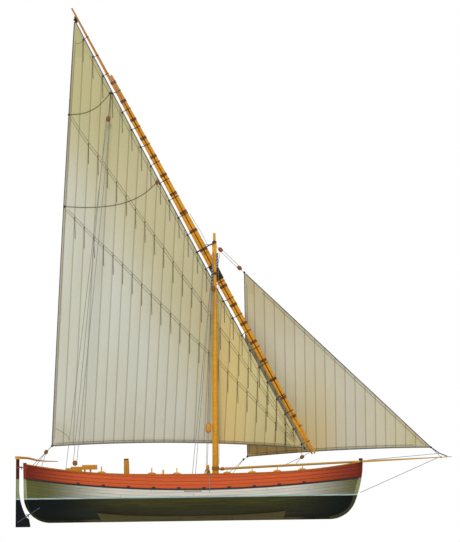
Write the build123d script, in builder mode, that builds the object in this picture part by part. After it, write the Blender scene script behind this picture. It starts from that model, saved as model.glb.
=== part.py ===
"""Lateen-rigged decked sailing boat, double-ended, about 13.6 m long on deck.

Row frame in millimetres: +X towards the bow, +Y to port, +Z up. The origin lies on the
waterline plane, on the centre line, half way between the stem and the sternpost.
"""

import os
from math import acos, atan2, degrees, hypot, sqrt

from build123d import *

os.makedirs("parts", exist_ok=True)

# Hull form, to the outer face of the planking.
# Columns: level, half breadth amidships, half breadth at the quarters, aft rabbet, fore rabbet.
WATERLINES = [
    (-860, 75, 70, -5850, 5450),
    (-780, 640, 400, -6110, 5800),
    (-640, 1260, 860, -6300, 6070),
    (-420, 1700, 1300, -6495, 6280),
    (-100, 1960, 1600, -6600, 6412),
    (250, 2075, 1765, -6626, 6512),
    (800, 2150, 1890, -6637, 6648),
    (1560, 2170, 1930, -6617, 6672),
]
QUARTER = 3000
POST_SIDING = 120
TOPSIDE_FLOOR = 250

# Sheer lines, each three tangent arcs: low point, middle radius, aft end, fore end.
SHEER_X = 300
SHEER_SPAN = 3000
WALE_LINE = (322, 50000, (-7000, 886), (7000, 732))
RAIL_LINE = (893, 100000, (-7000, 1456), (7000, 1356))

PLANKING = 50
DECK_THICKNESS = 50
DECK_RISE = 10
WALE_HEIGHT = 55
WALE_PROUD = 32
CAP_PROUD = 30
CAP_INBOARD = 40
CAP_BELOW = 20
CAP_ABOVE = 25
RIB_DEPTH = 80
RIB_WIDTH = 70
STATION_PITCH = 1004
FIRST_SCUPPER = -4560
SCUPPER_COUNT = 10
SCUPPER = (120, 45)
WALL_PIECE = 220

KEEL_BOTTOM = -970
POST_HEAD = 1450
KEEL_ENDS = (-5700, 5470)
BILGE_KEEL_Y = 700
BILGE_KEEL_THICK = 70

# Rudder and its hangings.
RUDDER_THICK = 70
RUDDER_HEAD = 1640
RUDDER_HEEL = -1126
HINGE_TOP = (-6827, 1266)
HINGE_LOW = (-6586, -653)
PINTLE_R = 18
PINTLE_CLEAR = 1
PINTLE_LENGTH = 110
PINTLE_SET = 15
EYE_R = 34
EYE_HEIGHT = 40
STRAP_THICK = 8
STRAP_WIDTH = 40
TILLER = [(-6905, 1662, 48), (-6554, 1635, 44), (-6191, 1546, 36), (-5904, 1508, 24), (-5380, 1490, 15)]

# Spars. The mast rakes a little forward.
MAST_FOOT = (925, 300)
MAST_TOP = (1015, 10540)
# Columns: height along the mast from its foot, radius.
MAST_TAPER = [(0, 133), (2950, 113), (9150, 78)]
HEAD_BLOCK = (180, 150, 670)
POLE_RADII = (54, 49)
SHEAVE_R = 82
SHEAVE_SLOT = 44
BOWSPRIT_Y = -125
BOWSPRIT_HEEL = (1075, 1098)
BOWSPRIT_TIP = (10377, 1462)
# Columns: distance from the heel, radius.
BOWSPRIT_TAPER = [(0, 49), (5700, 43), (9310, 15)]
GAMMON_X = 6765
RING_THICK = 18

YARD_Y = 235
YARD_FOOT = (4851, 1633)
YARD_PEAK = (-4553, 19657)
SPAR_SPLIT = 20
SPAR_GAP = 0.3
# Each spar stands off the split by its seat and is flattened against the other along it.
# Columns: distance from the yard's foot, radius.
FOOT_SEAT = 58
FOOT_SPAR = [(0, 38), (8600, 108), (17200, 46)]
PEAK_SEAT = 52
PEAK_SPAR = [(1570, 50), (9600, 100), (20300, 34)]
WOOLDING_FIRST = 1720
WOOLDING_PITCH = 843
WOOLDING_COUNT = 19
WOOLDING_WIDTH = 90
WOOLDING_THICK = 8
COLLAR_AT = 8260
COLLAR_LENGTH = 700
COLLAR_THICK = 22
PARREL_ROPE_R = 22
PARREL_CLEAR = 12

# Sails.
CLOTH = 12
MAIN_HEAD = (-4464, 19155)
MAIN_LUFF = (-760, 11876)
MAIN_TACK = (4503, 1890)
MAIN_FOOT = (326, 2160)
MAIN_CLEW = (-5603, 2106)
MAIN_LEECH = (-5080, 10600)
MAIN_CLEW_Y = 500
MAIN_SAGITTA = 575
JIB_HEAD = (2192, 8943)
JIB_TACK = (9558, 1848)
JIB_CLEW = (2222, 1585)
JIB_FOOT = (5657, 1790)
JIB_LUFF_Y = -60
JIB_CLEW_Y = 1250
JIB_SAGITTA = 370
ROBAND_FIRST = 557
ROBAND_PITCH = 697
ROBAND_GROWTH = 2.96
ROBAND_COUNT = 25
ROBAND_R = 9
JIB_HALYARD_TOP = (1075, -60, 9950)
JIB_TRAVELLER_X = 9960
LINE_R = 9

# Deck fittings.
COMPANION_X = (-5064, -4402)
COMPANION_HALF = 350
COAMING_WALL = 45
COAMING_TOP = 1214
WELL_FLOOR = 0
SLIDE_RAIL_TOP = 1267
SLIDE_RAIL_X = (-4859, -3797)
SLIDE_POSTS = (-4298, -4070)
SLIDE_POST = 70
SLIDE_X = (-4402, -3797)
SLIDE_TOP = 1337
SLIDE_SKIRT = 1143
SLIDE_CLEAR = 6
SLIDE_WALL = 28
SEAT_GAP = 0.3
HATCH_X = -800
HATCH_SIZE = (1100, 1000)
HATCH_WALL = 60
HATCH_TOP = 640
HATCH_BOARD = 45
PUMP_X = -2625
PUMP_R = (118, 103)
PUMP_TOP = 1562
PUMP_BORE = 72
PUMP_BORE_DEPTH = 450
PUMP_NOTCH = (110, 110)
THOLE_STATIONS = [-3627, -1619, -615, 1393, 2397, 3401, 4405]
THOLE_PAD = (320, 60, 80)
THOLE_PIN_R = 12
THOLE_PIN_TOP = 184
TIMBERHEAD_X = -1161
TIMBERHEAD = (60, 60, 175)
BITT_X = 625
BITT_TOP = 1270
BITT = (130, 100)
BITT_HALF_SPREAD = 215
STAY_R = 12
CORD_SIDES = 8
SHROUD = ((925, -66, 9345), (70, -2115, 850))
BOBSTAY = ((9815, -125, 1440), (6650, -20, 55))


def on_arc(start, tangent, end, x):
    """Ordinate at x of the arc that leaves start along tangent and ends at end."""
    size = hypot(*tangent)
    across = (-tangent[1] / size, tangent[0] / size)
    run = (end[0] - start[0], end[1] - start[1])
    lean = 2 * (run[0] * across[0] + run[1] * across[1])
    if abs(lean) < 1e-6:
        return start[1] + (x - start[0]) * tangent[1] / tangent[0]
    radius = (run[0] ** 2 + run[1] ** 2) / lean
    centre = (start[0] + radius * across[0], start[1] + radius * across[1])
    reach = sqrt(radius**2 - (x - centre[0]) ** 2)
    return centre[1] - reach if (centre[1] > start[1]) else centre[1] + reach


def sheer_at(line, x):
    """Height of a sheer line at x."""
    low, radius, aft, fore = line
    away = x - SHEER_X
    if abs(away) <= SHEER_SPAN:
        return low + radius - sqrt(radius**2 - away**2)
    side = 1 if away > 0 else -1
    rise = radius - sqrt(radius**2 - SHEER_SPAN**2)
    start = (SHEER_X + side * SHEER_SPAN, low + rise)
    tangent = (side * (radius - rise), SHEER_SPAN)
    return on_arc(start, tangent, fore if side > 0 else aft, x)


def deck_at(x):
    """Height of the deck's top."""
    return sheer_at(WALE_LINE, x) + DECK_RISE


def half_breadth(x, z):
    """Half breadth of the hull at a place, between the two nearest waterlines."""

    def row_breadth(row):
        level, mid, quarter, aft, fore = row
        sag = mid - quarter
        radius = (QUARTER**2 + sag**2) / (2 * sag)
        if abs(x) <= QUARTER:
            return mid - radius + sqrt(radius**2 - x**2)
        side = 1 if x > 0 else -1
        end = (abs(fore if side > 0 else aft), POST_SIDING / 2)
        return on_arc((QUARTER, quarter), (radius - sag, -QUARTER), end, abs(x))

    rows = [r for r in WATERLINES if r[0] <= z][-1:] + [r for r in WATERLINES if r[0] > z][:1]
    low, high = row_breadth(rows[0]), row_breadth(rows[-1])
    share = (z - rows[0][0]) / max(rows[-1][0] - rows[0][0], 1)
    return low + (high - low) * share


def sheer_edges(line):
    """Draws the three arcs of a sheer line in the sketch plane."""
    low, radius, aft, fore = line
    rise = radius - sqrt(radius**2 - SHEER_SPAN**2)
    middle = ThreePointArc(
        (SHEER_X - SHEER_SPAN, low + rise), (SHEER_X, low), (SHEER_X + SHEER_SPAN, low + rise)
    )
    TangentArc(middle @ 1, fore, tangent=middle % 1)
    TangentArc(middle @ 0, aft, tangent=(middle % 0) * -1)


def sheer_band(line, below, above, reach=3500):
    """Volume between two heights above a sheer line, over the whole boat."""
    low, radius, aft, fore = line
    lower = (low + below, radius, (aft[0], aft[1] + below), (fore[0], fore[1] + below))
    upper = (low + above, radius, (aft[0], aft[1] + above), (fore[0], fore[1] + above))
    with BuildPart() as band:
        with BuildSketch(Plane.XZ):
            with BuildLine():
                sheer_edges(lower)
                sheer_edges(upper)
                Line(lower[2], upper[2])
                Line(lower[3], upper[3])
            make_face()
        extrude(amount=reach, both=True)
    return band.part


def hull_form(grow=0.0, floor=WATERLINES[0][0]):
    """Solid inside the planking's outer face, moved outwards by grow."""
    with BuildPart() as form:
        for level, mid, quarter, aft, fore in [r for r in WATERLINES if r[0] >= floor]:
            end_half = max(POST_SIDING / 2 + grow, 8)
            with BuildSketch(Plane.XY.offset(level)):
                with BuildLine():
                    waist = ThreePointArc(
                        (-QUARTER, quarter + grow), (0, mid + grow), (QUARTER, quarter + grow)
                    )
                    TangentArc(waist @ 1, (fore + grow, end_half), tangent=waist % 1)
                    TangentArc(waist @ 0, (aft - grow, end_half), tangent=(waist % 0) * -1)
                    mirror(about=Plane.XZ)
                    Line((fore + grow, end_half), (fore + grow, -end_half))
                    Line((aft - grow, end_half), (aft - grow, -end_half))
                make_face()
        loft(ruled=True)
    return form.part


def turned(origin, heading, stations):
    """Round spar on a straight axis. Stations are (distance along it, radius)."""
    heading = Vector(*heading)
    out = Vector(heading.Z, 0, -heading.X)
    with BuildPart() as spar:
        with BuildSketch(Plane(origin=origin, x_dir=out, z_dir=(0, -1, 0))):
            with BuildLine():
                edge = [(radius, along) for along, radius in stations]
                Polyline((0, stations[0][0]), *edge, (0, stations[-1][0]), close=True)
            make_face()
        revolve(axis=Axis(origin, heading))
    return spar.part


def unit(start, end):
    """Direction from one place to another in the plane of the centre line."""
    length = hypot(end[0] - start[0], end[1] - start[1])
    return ((end[0] - start[0]) / length, 0, (end[1] - start[1]) / length)


def radius_at(stations, along):
    """Radius of a turned spar at a distance along it, or 0 past its ends."""
    for (a0, r0), (a1, r1) in zip(stations, stations[1:]):
        if a0 <= along <= a1:
            return r0 + (r1 - r0) * (along - a0) / (a1 - a0)
    return 0


def cord(start, end, radius):
    """Length of cord between two points, drawn with CORD_SIDES flats."""
    along = Vector(*end) - Vector(*start)
    with BuildPart() as made:
        with BuildSketch(Plane(origin=start, z_dir=along)):
            RegularPolygon(radius, CORD_SIDES)
        extrude(amount=along.length)
    return made.part


def write(part, name):
    """Labels a piece and writes its STEP file."""
    part.label = name
    export_step(part, f"parts/{name}.step")


def halves(part, name):
    """Writes the port and starboard halves of a piece as two nodes."""
    for side, keep in (("port", Keep.BOTTOM), ("starboard", Keep.TOP)):
        with BuildPart() as half:
            add(part)
            split(bisect_by=Plane.XZ, keep=keep)
        write(half.part, f"{name}_{side}")


# Forms that the hull's pieces are cut from.
outer_form = hull_form()
topside_outer = hull_form(0, TOPSIDE_FLOOR)
topside_inner = hull_form(-PLANKING, TOPSIDE_FLOOR)
above_wale = sheer_band(WALE_LINE, 0, 2500)
under_deck = sheer_band(WALE_LINE, -900, DECK_RISE)
above_cap = sheer_band(RAIL_LINE, CAP_ABOVE, 11000)
well_ends = (COMPANION_X[0] + COAMING_WALL, COMPANION_X[1] - COAMING_WALL)
well_size = (
    well_ends[1] - well_ends[0],
    2 * (COMPANION_HALF - COAMING_WALL),
    COAMING_TOP - WELL_FLOOR,
)
well_centre = ((COMPANION_X[0] + COMPANION_X[1]) / 2, 0, (WELL_FLOOR + COAMING_TOP) / 2)


def parted(part, name):
    """Writes a piece as three nodes, parted at the companion's two bulkheads."""
    aft, fore = (Plane.YZ.offset(x) for x in well_ends)
    for node, cuts in (
        (name, [(fore, Keep.TOP)]),
        (f"{name}_companion", [(fore, Keep.BOTTOM), (aft, Keep.TOP)]),
        (f"{name}_aft", [(aft, Keep.BOTTOM)]),
    ):
        with BuildPart() as piece:
            add(part)
            for bulkhead, keep in cuts:
                split(bisect_by=bulkhead, keep=keep)
        write(piece.part, node)


# Deck, let in between the planking.
with BuildPart() as deck:
    add(topside_inner)
    add(sheer_band(WALE_LINE, DECK_RISE - DECK_THICKNESS, DECK_RISE), mode=Mode.INTERSECT)
    with Locations(well_centre):
        Box(*well_size, mode=Mode.SUBTRACT)
parted(deck.part, "deck")

# Hull below the wale, solid under its deck but for the companion well.
with BuildPart() as hull_planking:
    add(outer_form)
    add(above_wale, mode=Mode.SUBTRACT)
    with BuildPart(mode=Mode.PRIVATE) as deck_bed:
        add(topside_inner)
        add(sheer_band(WALE_LINE, DECK_RISE - DECK_THICKNESS, 200), mode=Mode.INTERSECT)
    add(deck_bed.part, mode=Mode.SUBTRACT)
    with Locations(well_centre):
        Box(*well_size, mode=Mode.SUBTRACT)
parted(hull_planking.part, "hull_planking")

# Bulwarks, with scuppers at the deck.
with BuildPart() as bulwark:
    add(topside_outer)
    add(topside_inner, mode=Mode.SUBTRACT)
    add(sheer_band(RAIL_LINE, -CAP_BELOW, 1500), mode=Mode.SUBTRACT)
    add(above_wale, mode=Mode.INTERSECT)
    scupper_reach = 2 * (WATERLINES[-1][1] + WALE_PROUD)
    scupper_places = [FIRST_SCUPPER + STATION_PITCH * i for i in range(SCUPPER_COUNT)]
    with Locations(*[(x, 0, deck_at(x) + SCUPPER[1] / 2) for x in scupper_places]):
        Box(SCUPPER[0], scupper_reach, SCUPPER[1], mode=Mode.SUBTRACT)
halves(bulwark.part, "bulwark")

# Stanchions up the inside of the bulwarks, between the scuppers.
with BuildPart() as stanchions:
    rib_places = [FIRST_SCUPPER + STATION_PITCH * (i + 0.5) for i in range(-1, SCUPPER_COUNT)]
    wall_face = [(x, half_breadth(x, 800) - PLANKING - RIB_DEPTH + WALL_PIECE / 2) for x in rib_places]
    with Locations(*[(x, side * y, 800) for x, y in wall_face for side in (1, -1)]):
        Box(RIB_WIDTH, WALL_PIECE, 2000)
    add(topside_inner, mode=Mode.INTERSECT)
    add(sheer_band(RAIL_LINE, -CAP_BELOW, 1500), mode=Mode.SUBTRACT)
    add(under_deck, mode=Mode.SUBTRACT)
halves(stanchions.part, "stanchions")

# Backbone: stem, keel and sternpost, cut to the rabbet.
STEM_KEEL = (5485, KEEL_BOTTOM)
STEM_TURN = (6500, -280)
STEM_RISE = (6812, 1000)
STERN_KEEL = (-5700, KEEL_BOTTOM)
STERN_TURN = (-6755, 60)
with BuildPart() as backbone:
    with BuildSketch(Plane.XZ):
        with BuildLine():
            forefoot = TangentArc(STEM_KEEL, STEM_TURN, tangent=(1, 0))
            cutwater = TangentArc(STEM_TURN, STEM_RISE, tangent=forefoot % 1)
            heel = TangentArc(STERN_KEEL, STERN_TURN, tangent=(-1, 0))
            Polyline(STEM_RISE, (6820, POST_HEAD), (-6760, POST_HEAD), STERN_TURN)
            Line(STERN_KEEL, STEM_KEEL)
        make_face()
    extrude(amount=POST_SIDING / 2, both=True)
    add(outer_form, mode=Mode.SUBTRACT)
# Columns: node, lower x, upper x.
for name, low, high in (
    ("sternpost", -8000, KEEL_ENDS[0]),
    ("keel", *KEEL_ENDS),
    ("stem", KEEL_ENDS[1], 8000),
):
    with BuildPart() as piece:
        add(backbone.part)
        with Locations(((low + high) / 2, 0, 0)):
            Box(high - low, 1000, 6000, mode=Mode.INTERSECT)
    write(piece.part, name)


# Bowsprit beside the stem head.
bowsprit_up = unit(BOWSPRIT_HEEL, BOWSPRIT_TIP)
with BuildPart() as bowsprit:
    add(turned((BOWSPRIT_HEEL[0], BOWSPRIT_Y, BOWSPRIT_HEEL[1]), bowsprit_up, BOWSPRIT_TAPER))
write(bowsprit.part, "bowsprit")


# Cap rails on the bulwarks, closed across the ends and notched for the bowsprit.
with BuildPart() as cap_rail:
    add(hull_form(CAP_PROUD, TOPSIDE_FLOOR))
    add(hull_form(-PLANKING - CAP_INBOARD, TOPSIDE_FLOOR), mode=Mode.SUBTRACT)
    add(sheer_band(RAIL_LINE, -CAP_BELOW, CAP_ABOVE), mode=Mode.INTERSECT)
    for neighbour in (backbone, bowsprit):
        add(neighbour.part, mode=Mode.SUBTRACT)
halves(cap_rail.part, "cap_rail")

# Wales, the dark rubbing strakes under the bulwarks.
with BuildPart() as wale:
    add(hull_form(WALE_PROUD, TOPSIDE_FLOOR))
    add(topside_outer, mode=Mode.SUBTRACT)
    add(sheer_band(WALE_LINE, -WALE_HEIGHT, 0), mode=Mode.INTERSECT)
    add(backbone.part, mode=Mode.SUBTRACT)
halves(wale.part, "wale")

# Bilge keels that the boat stands on when it is hauled out.
for side, sign in (("port", 1), ("starboard", -1)):
    with BuildPart() as bilge_keel:
        with BuildSketch(Plane.XZ.offset(-sign * BILGE_KEEL_Y)):
            with BuildLine():
                Polyline((-3820, -600), (-3629, -955), (3603, -955), (3720, -600), close=True)
            make_face()
        extrude(amount=BILGE_KEEL_THICK / 2, both=True)
        add(outer_form, mode=Mode.SUBTRACT)
    write(bilge_keel.part, f"bilge_keel_{side}")

# Rudder, hung on two pintles along a raked line.
hinge_lean = (HINGE_TOP[0] - HINGE_LOW[0], HINGE_TOP[1] - HINGE_LOW[1])
with BuildPart() as rudder:
    with BuildSketch(Plane.XZ):
        with BuildLine():
            Polyline(
                (-6925, 620),
                (-6900, RUDDER_HEAD),
                (-7040, RUDDER_HEAD),
                (-7100, RUDDER_HEEL),
                (-6515, RUDDER_HEEL),
                (-6500, -1080),
                (-6550, -790),
                (-6650, -730),
            )
            ThreePointArc((-6650, -730), (-6838, -250), (-6925, 620))
        make_face()
    extrude(amount=RUDDER_THICK / 2, both=True)


def hinge_plane(point):
    """Plane square to the rudder's hinge line at a point on it."""
    return Plane(
        origin=(point[0], 0, point[1]), x_dir=(0, 1, 0), z_dir=(hinge_lean[0], 0, hinge_lean[1])
    )


def strap_zone(point, slope, aft, fore):
    """Upright slab along a strap's line, in the plane of the centre line."""
    turn = degrees(atan2(slope[1], slope[0]))
    with BuildPart() as zone:
        with BuildSketch(Plane.XZ):
            with Locations(Location((point[0], point[1], 0), (0, 0, turn))):
                with Locations(((fore - aft) / 2, 0)):
                    Rectangle(fore + aft, STRAP_WIDTH)
        extrude(amount=600, both=True)
    return zone.part


post_skin = hull_form(STRAP_THICK)
# Columns: hinge point, strap direction, reach aft on the rudder, reach forward on the hull.
HANGINGS = [(HINGE_TOP, (1, 0), 230, 270), (HINGE_LOW, (0.84, 0.54), 540, 560)]
with BuildPart() as gudgeons:
    for point, slope, aft, fore in HANGINGS:
        with BuildPart(mode=Mode.PRIVATE) as gudgeon:
            with BuildSketch(Plane.XZ):
                Rectangle(60000, 60000)
            extrude(amount=POST_SIDING / 2 + STRAP_THICK, both=True)
            add(strap_zone(point, slope, -EYE_R * 0.6, fore), mode=Mode.INTERSECT)
            with BuildPart(mode=Mode.PRIVATE) as over_planks:
                add(post_skin)
                add(strap_zone(point, slope, -EYE_R, fore), mode=Mode.INTERSECT)
            add(over_planks.part)
            add(outer_form, mode=Mode.SUBTRACT)
            with BuildSketch(hinge_plane(point)):
                Circle(EYE_R)
            extrude(amount=EYE_HEIGHT / 2, both=True)
            add(backbone.part, mode=Mode.SUBTRACT)
            with BuildSketch(hinge_plane(point)):
                Circle(PINTLE_R + PINTLE_CLEAR)
            extrude(amount=EYE_HEIGHT * 3, both=True, mode=Mode.SUBTRACT)
        add(gudgeon.part)
write(gudgeons.part, "gudgeons")

with BuildPart() as pintles:
    for point, slope, aft, fore in HANGINGS:
        with BuildPart(mode=Mode.PRIVATE) as pintle:
            with BuildSketch(Plane.XZ):
                Rectangle(60000, 60000)
            extrude(amount=RUDDER_THICK / 2 + STRAP_THICK, both=True)
            add(strap_zone(point, slope, aft, -PINTLE_SET), mode=Mode.INTERSECT)
            with BuildSketch(hinge_plane(point)):
                Circle(EYE_R + 6)
            extrude(amount=EYE_HEIGHT / 2 + 6, both=True, mode=Mode.SUBTRACT)
            with BuildSketch(hinge_plane(point).offset(EYE_HEIGHT / 2 + 6)):
                Circle(PINTLE_R)
                with Locations((0, EYE_R * 1.5)):
                    Rectangle(2 * PINTLE_R, EYE_R * 3)
            extrude(amount=22)
            with BuildSketch(hinge_plane(point).offset(EYE_HEIGHT / 2 + 6)):
                Circle(PINTLE_R)
            extrude(amount=-PINTLE_LENGTH)
            add(rudder.part, mode=Mode.SUBTRACT)
        add(pintle.part)
write(pintles.part, "pintles")

with BuildPart() as tiller:
    for (x0, z0, r0), (x1, z1, r1) in zip(TILLER, TILLER[1:]):
        length = hypot(x1 - x0, z1 - z0)
        add(turned((x0, 0, z0), unit((x0, z0), (x1, z1)), [(0, r0), (length, r1)]))
    for x, z, radius in TILLER[1:]:
        with Locations((x, 0, z)):
            Sphere(radius)
write(tiller.part, "tiller")
with BuildPart() as rudder_blade:
    add(rudder.part)
    add(tiller.part, mode=Mode.SUBTRACT)
write(rudder_blade.part, "rudder")

with BuildPart() as tiller_head:
    with BuildSketch(Plane.XZ):
        with BuildLine():
            Polyline((-7075, 1600), (-7085, 1716), (-6905, 1722), (-6885, 1600), close=True)
        make_face()
    extrude(amount=68, both=True)
    chamfer(tiller_head.edges().filter_by(Axis.Y), 12)
    for neighbour in (rudder, tiller):
        add(neighbour.part, mode=Mode.SUBTRACT)
write(tiller_head.part, "tiller_head")

# Mast in three lengths: lower mast, sheaved head block and pole.
mast_plane = Plane(
    origin=(MAST_FOOT[0], 0, MAST_FOOT[1]),
    x_dir=(1, 0, -(MAST_TOP[0] - MAST_FOOT[0]) / (MAST_TOP[1] - MAST_FOOT[1])),
    z_dir=(MAST_TOP[0] - MAST_FOOT[0], 0, MAST_TOP[1] - MAST_FOOT[1]),
)
mast_side = Plane(origin=mast_plane.origin, x_dir=mast_plane.x_dir, z_dir=(0, -1, 0))
mast_length = hypot(MAST_TOP[0] - MAST_FOOT[0], MAST_TOP[1] - MAST_FOOT[1])


def mast_x(height):
    """X of the mast's axis at a height above the waterline."""
    share = (height - MAST_FOOT[1]) / (MAST_TOP[1] - MAST_FOOT[1])
    return MAST_FOOT[0] + share * (MAST_TOP[0] - MAST_FOOT[0])


with BuildPart() as mast:
    add(turned(mast_plane.origin, mast_plane.z_dir, MAST_TAPER))
    add(under_deck, mode=Mode.SUBTRACT)
write(mast.part, "mast")

head_base = MAST_TAPER[-1][0]
sheave_at = head_base + HEAD_BLOCK[2] * 0.62
with BuildPart() as masthead_block:
    with BuildSketch(mast_plane.offset(head_base)):
        RectangleRounded(HEAD_BLOCK[0], HEAD_BLOCK[1], 40)
    extrude(amount=HEAD_BLOCK[2])
    with BuildSketch(mast_side):
        with Locations((0, sheave_at)):
            Rectangle(2 * HEAD_BLOCK[0], 2 * SHEAVE_R + 50)
    extrude(amount=SHEAVE_SLOT / 2, both=True, mode=Mode.SUBTRACT)
    with BuildSketch(mast_side):
        with Locations((0, sheave_at)):
            Circle(16)
    extrude(amount=HEAD_BLOCK[1], both=True, mode=Mode.SUBTRACT)
write(masthead_block.part, "masthead_block")

with BuildPart() as masthead_sheave:
    with BuildSketch(mast_side):
        with Locations((0, sheave_at)):
            Circle(SHEAVE_R)
    extrude(amount=SHEAVE_SLOT / 2 - 4, both=True)
    with BuildSketch(mast_side):
        with Locations((0, sheave_at)):
            Circle(SHEAVE_R + 5)
            Circle(SHEAVE_R - 12, mode=Mode.SUBTRACT)
    extrude(amount=SHEAVE_SLOT / 2 - 12, both=True, mode=Mode.SUBTRACT)
    with BuildSketch(mast_side):
        with Locations((0, sheave_at)):
            Circle(16)
    extrude(amount=HEAD_BLOCK[1] / 2, both=True)
write(masthead_sheave.part, "masthead_sheave")

pole_base = head_base + HEAD_BLOCK[2]
pole_stations = [(pole_base, POLE_RADII[0]), (mast_length, POLE_RADII[1])]
with BuildPart() as mast_pole:
    add(turned(mast_plane.origin, mast_plane.z_dir, pole_stations))
write(mast_pole.part, "mast_pole")

with BuildPart() as mast_band:
    with BuildSketch(mast_plane.offset(pole_base)):
        Circle(POLE_RADII[0] + 32)
    extrude(amount=110)
    chamfer(mast_band.edges().filter_by(GeomType.CIRCLE), 18)
    add(mast_pole.part, mode=Mode.SUBTRACT)
write(mast_band.part, "mast_band")

with BuildPart() as mast_partner:
    with BuildSketch(Plane.XY.offset(300)):
        with Locations((mast_x(380), 0)):
            RectangleRounded(440, 440, 90)
    extrude(amount=deck_at(MAST_FOOT[0]) + 60 - 300)
    add(mast.part, mode=Mode.SUBTRACT)
    add(under_deck, mode=Mode.SUBTRACT)
write(mast_partner.part, "mast_partner")


def bowsprit_at(x):
    """Height and radius of the bowsprit at x."""
    along = (x - BOWSPRIT_HEEL[0]) / bowsprit_up[0]
    return BOWSPRIT_HEEL[1] + along * bowsprit_up[2], radius_at(BOWSPRIT_TAPER, along)


# Bowsprit fastenings: gammon iron at the stem and strop at the mast.
with BuildPart() as gammon_iron:
    gammon_z, gammon_r = bowsprit_at(GAMMON_X)
    with BuildSketch(Plane(origin=(GAMMON_X, BOWSPRIT_Y, gammon_z), x_dir=(0, 1, 0), z_dir=(1, 0, 0))):
        Circle(gammon_r + RING_THICK)
    extrude(amount=35, both=True)
    with Locations((GAMMON_X, -POST_SIDING / 2 - 7, gammon_z - 30)):
        Box(110, 14, 200)
    for neighbour in (bowsprit, backbone):
        add(neighbour.part, mode=Mode.SUBTRACT)
write(gammon_iron.part, "gammon_iron")

with BuildPart() as heel_strop:
    strop_z = BOWSPRIT_HEEL[1]
    with BuildSketch(mast_plane.offset(strop_z - MAST_FOOT[1] - 45)):
        Circle(MAST_TAPER[1][1] + 2 + RING_THICK)
    extrude(amount=90)
    with BuildSketch(Plane(origin=(1078, BOWSPRIT_Y, strop_z), x_dir=(0, 1, 0), z_dir=(1, 0, 0.05))):
        Circle(BOWSPRIT_TAPER[0][1] + RING_THICK)
    extrude(amount=95)
    with Locations((1095, -90, strop_z)):
        Box(60, 60, 60)
    for neighbour in (bowsprit, mast):
        add(neighbour.part, mode=Mode.SUBTRACT)
write(heel_strop.part, "heel_strop")

# Yard of two spars lashed side by side, on the port side of the mast.
yard_run = (YARD_PEAK[0] - YARD_FOOT[0], YARD_PEAK[1] - YARD_FOOT[1])
yard_length = hypot(*yard_run)
yard_up = unit(YARD_FOOT, YARD_PEAK)
yard_plane = Plane(
    origin=(YARD_FOOT[0], YARD_Y, YARD_FOOT[1]), x_dir=(yard_up[2], 0, -yard_up[0]), z_dir=yard_up
)


def yard_spar(stations, seat, side):
    """One spar of the yard, flattened where it lies against the other."""
    origin = yard_plane.origin + yard_plane.x_dir * (SPAR_SPLIT + side * seat)
    with BuildPart() as made:
        add(turned(origin, yard_plane.z_dir, stations))
        with BuildSketch(yard_plane.offset(-500)):
            with Locations((SPAR_SPLIT + side * (SPAR_GAP - 500), 0)):
                Rectangle(1000, 1000)
        extrude(amount=yard_length + 1000, mode=Mode.SUBTRACT)
    return made.part


yard_foot_spar = yard_spar(FOOT_SPAR, FOOT_SEAT, 1)
yard_peak_spar = yard_spar(PEAK_SPAR, PEAK_SEAT, -1)
write(yard_foot_spar, "yard_foot_spar")
write(yard_peak_spar, "yard_peak_spar")


def band_edges(foot_r, peak_r, thick):
    """Draws a loop drawn tight round both spars, held off them by thick."""
    foot_x = SPAR_SPLIT + FOOT_SEAT
    peak_x = SPAR_SPLIT - PEAK_SEAT
    lean = degrees(acos((peak_r - foot_r) / (foot_x - peak_x)))
    round_foot = CenterArc((foot_x, 0), foot_r + thick, -lean, 2 * lean)
    round_peak = CenterArc((peak_x, 0), peak_r + thick, lean, 360 - 2 * lean)
    Line(round_foot @ 1, round_peak @ 0)
    Line(round_peak @ 1, round_foot @ 0)


def wrap(along, width, thick):
    """Lashing round both spars."""
    ends = (along - width / 2, along + width / 2)
    foot_r = max(radius_at(FOOT_SPAR, end) for end in (*ends, along)) + SPAR_GAP
    peak_r = max(radius_at(PEAK_SPAR, end) for end in (*ends, along)) + SPAR_GAP
    with BuildPart() as made:
        with BuildSketch(yard_plane.offset(along - width / 2)):
            with BuildLine():
                band_edges(foot_r, peak_r, thick)
            make_face()
            with BuildLine():
                band_edges(foot_r, peak_r, 0)
            make_face(mode=Mode.SUBTRACT)
        extrude(amount=width)
    return made.part


with BuildPart() as wooldings:
    for i in range(WOOLDING_COUNT):
        along = WOOLDING_FIRST + WOOLDING_PITCH * i
        if abs(along - COLLAR_AT) > COLLAR_LENGTH / 2 + WOOLDING_WIDTH:
            add(wrap(along, WOOLDING_WIDTH, WOOLDING_THICK))
write(wooldings.part, "wooldings")

parrel_height = YARD_FOOT[1] + COLLAR_AT * yard_up[2]
with BuildPart() as parrel:
    add(wrap(COLLAR_AT, COLLAR_LENGTH, COLLAR_THICK))
    parrel_r = 84 + PARREL_CLEAR + PARREL_ROPE_R
    parrel_plane = mast_plane.offset(parrel_height - MAST_FOOT[1])
    with BuildSketch(
        Plane(origin=parrel_plane.origin, x_dir=parrel_plane.x_dir, z_dir=(0, -1, 0))
    ):
        with Locations((parrel_r, 0), (parrel_r, -2.4 * PARREL_ROPE_R)):
            RegularPolygon(PARREL_ROPE_R, CORD_SIDES)
    revolve(axis=Axis(mast_plane.origin, mast_plane.z_dir))
    add(yard_foot_spar, mode=Mode.SUBTRACT)
    add(yard_peak_spar, mode=Mode.SUBTRACT)
write(parrel.part, "parrel")


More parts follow.
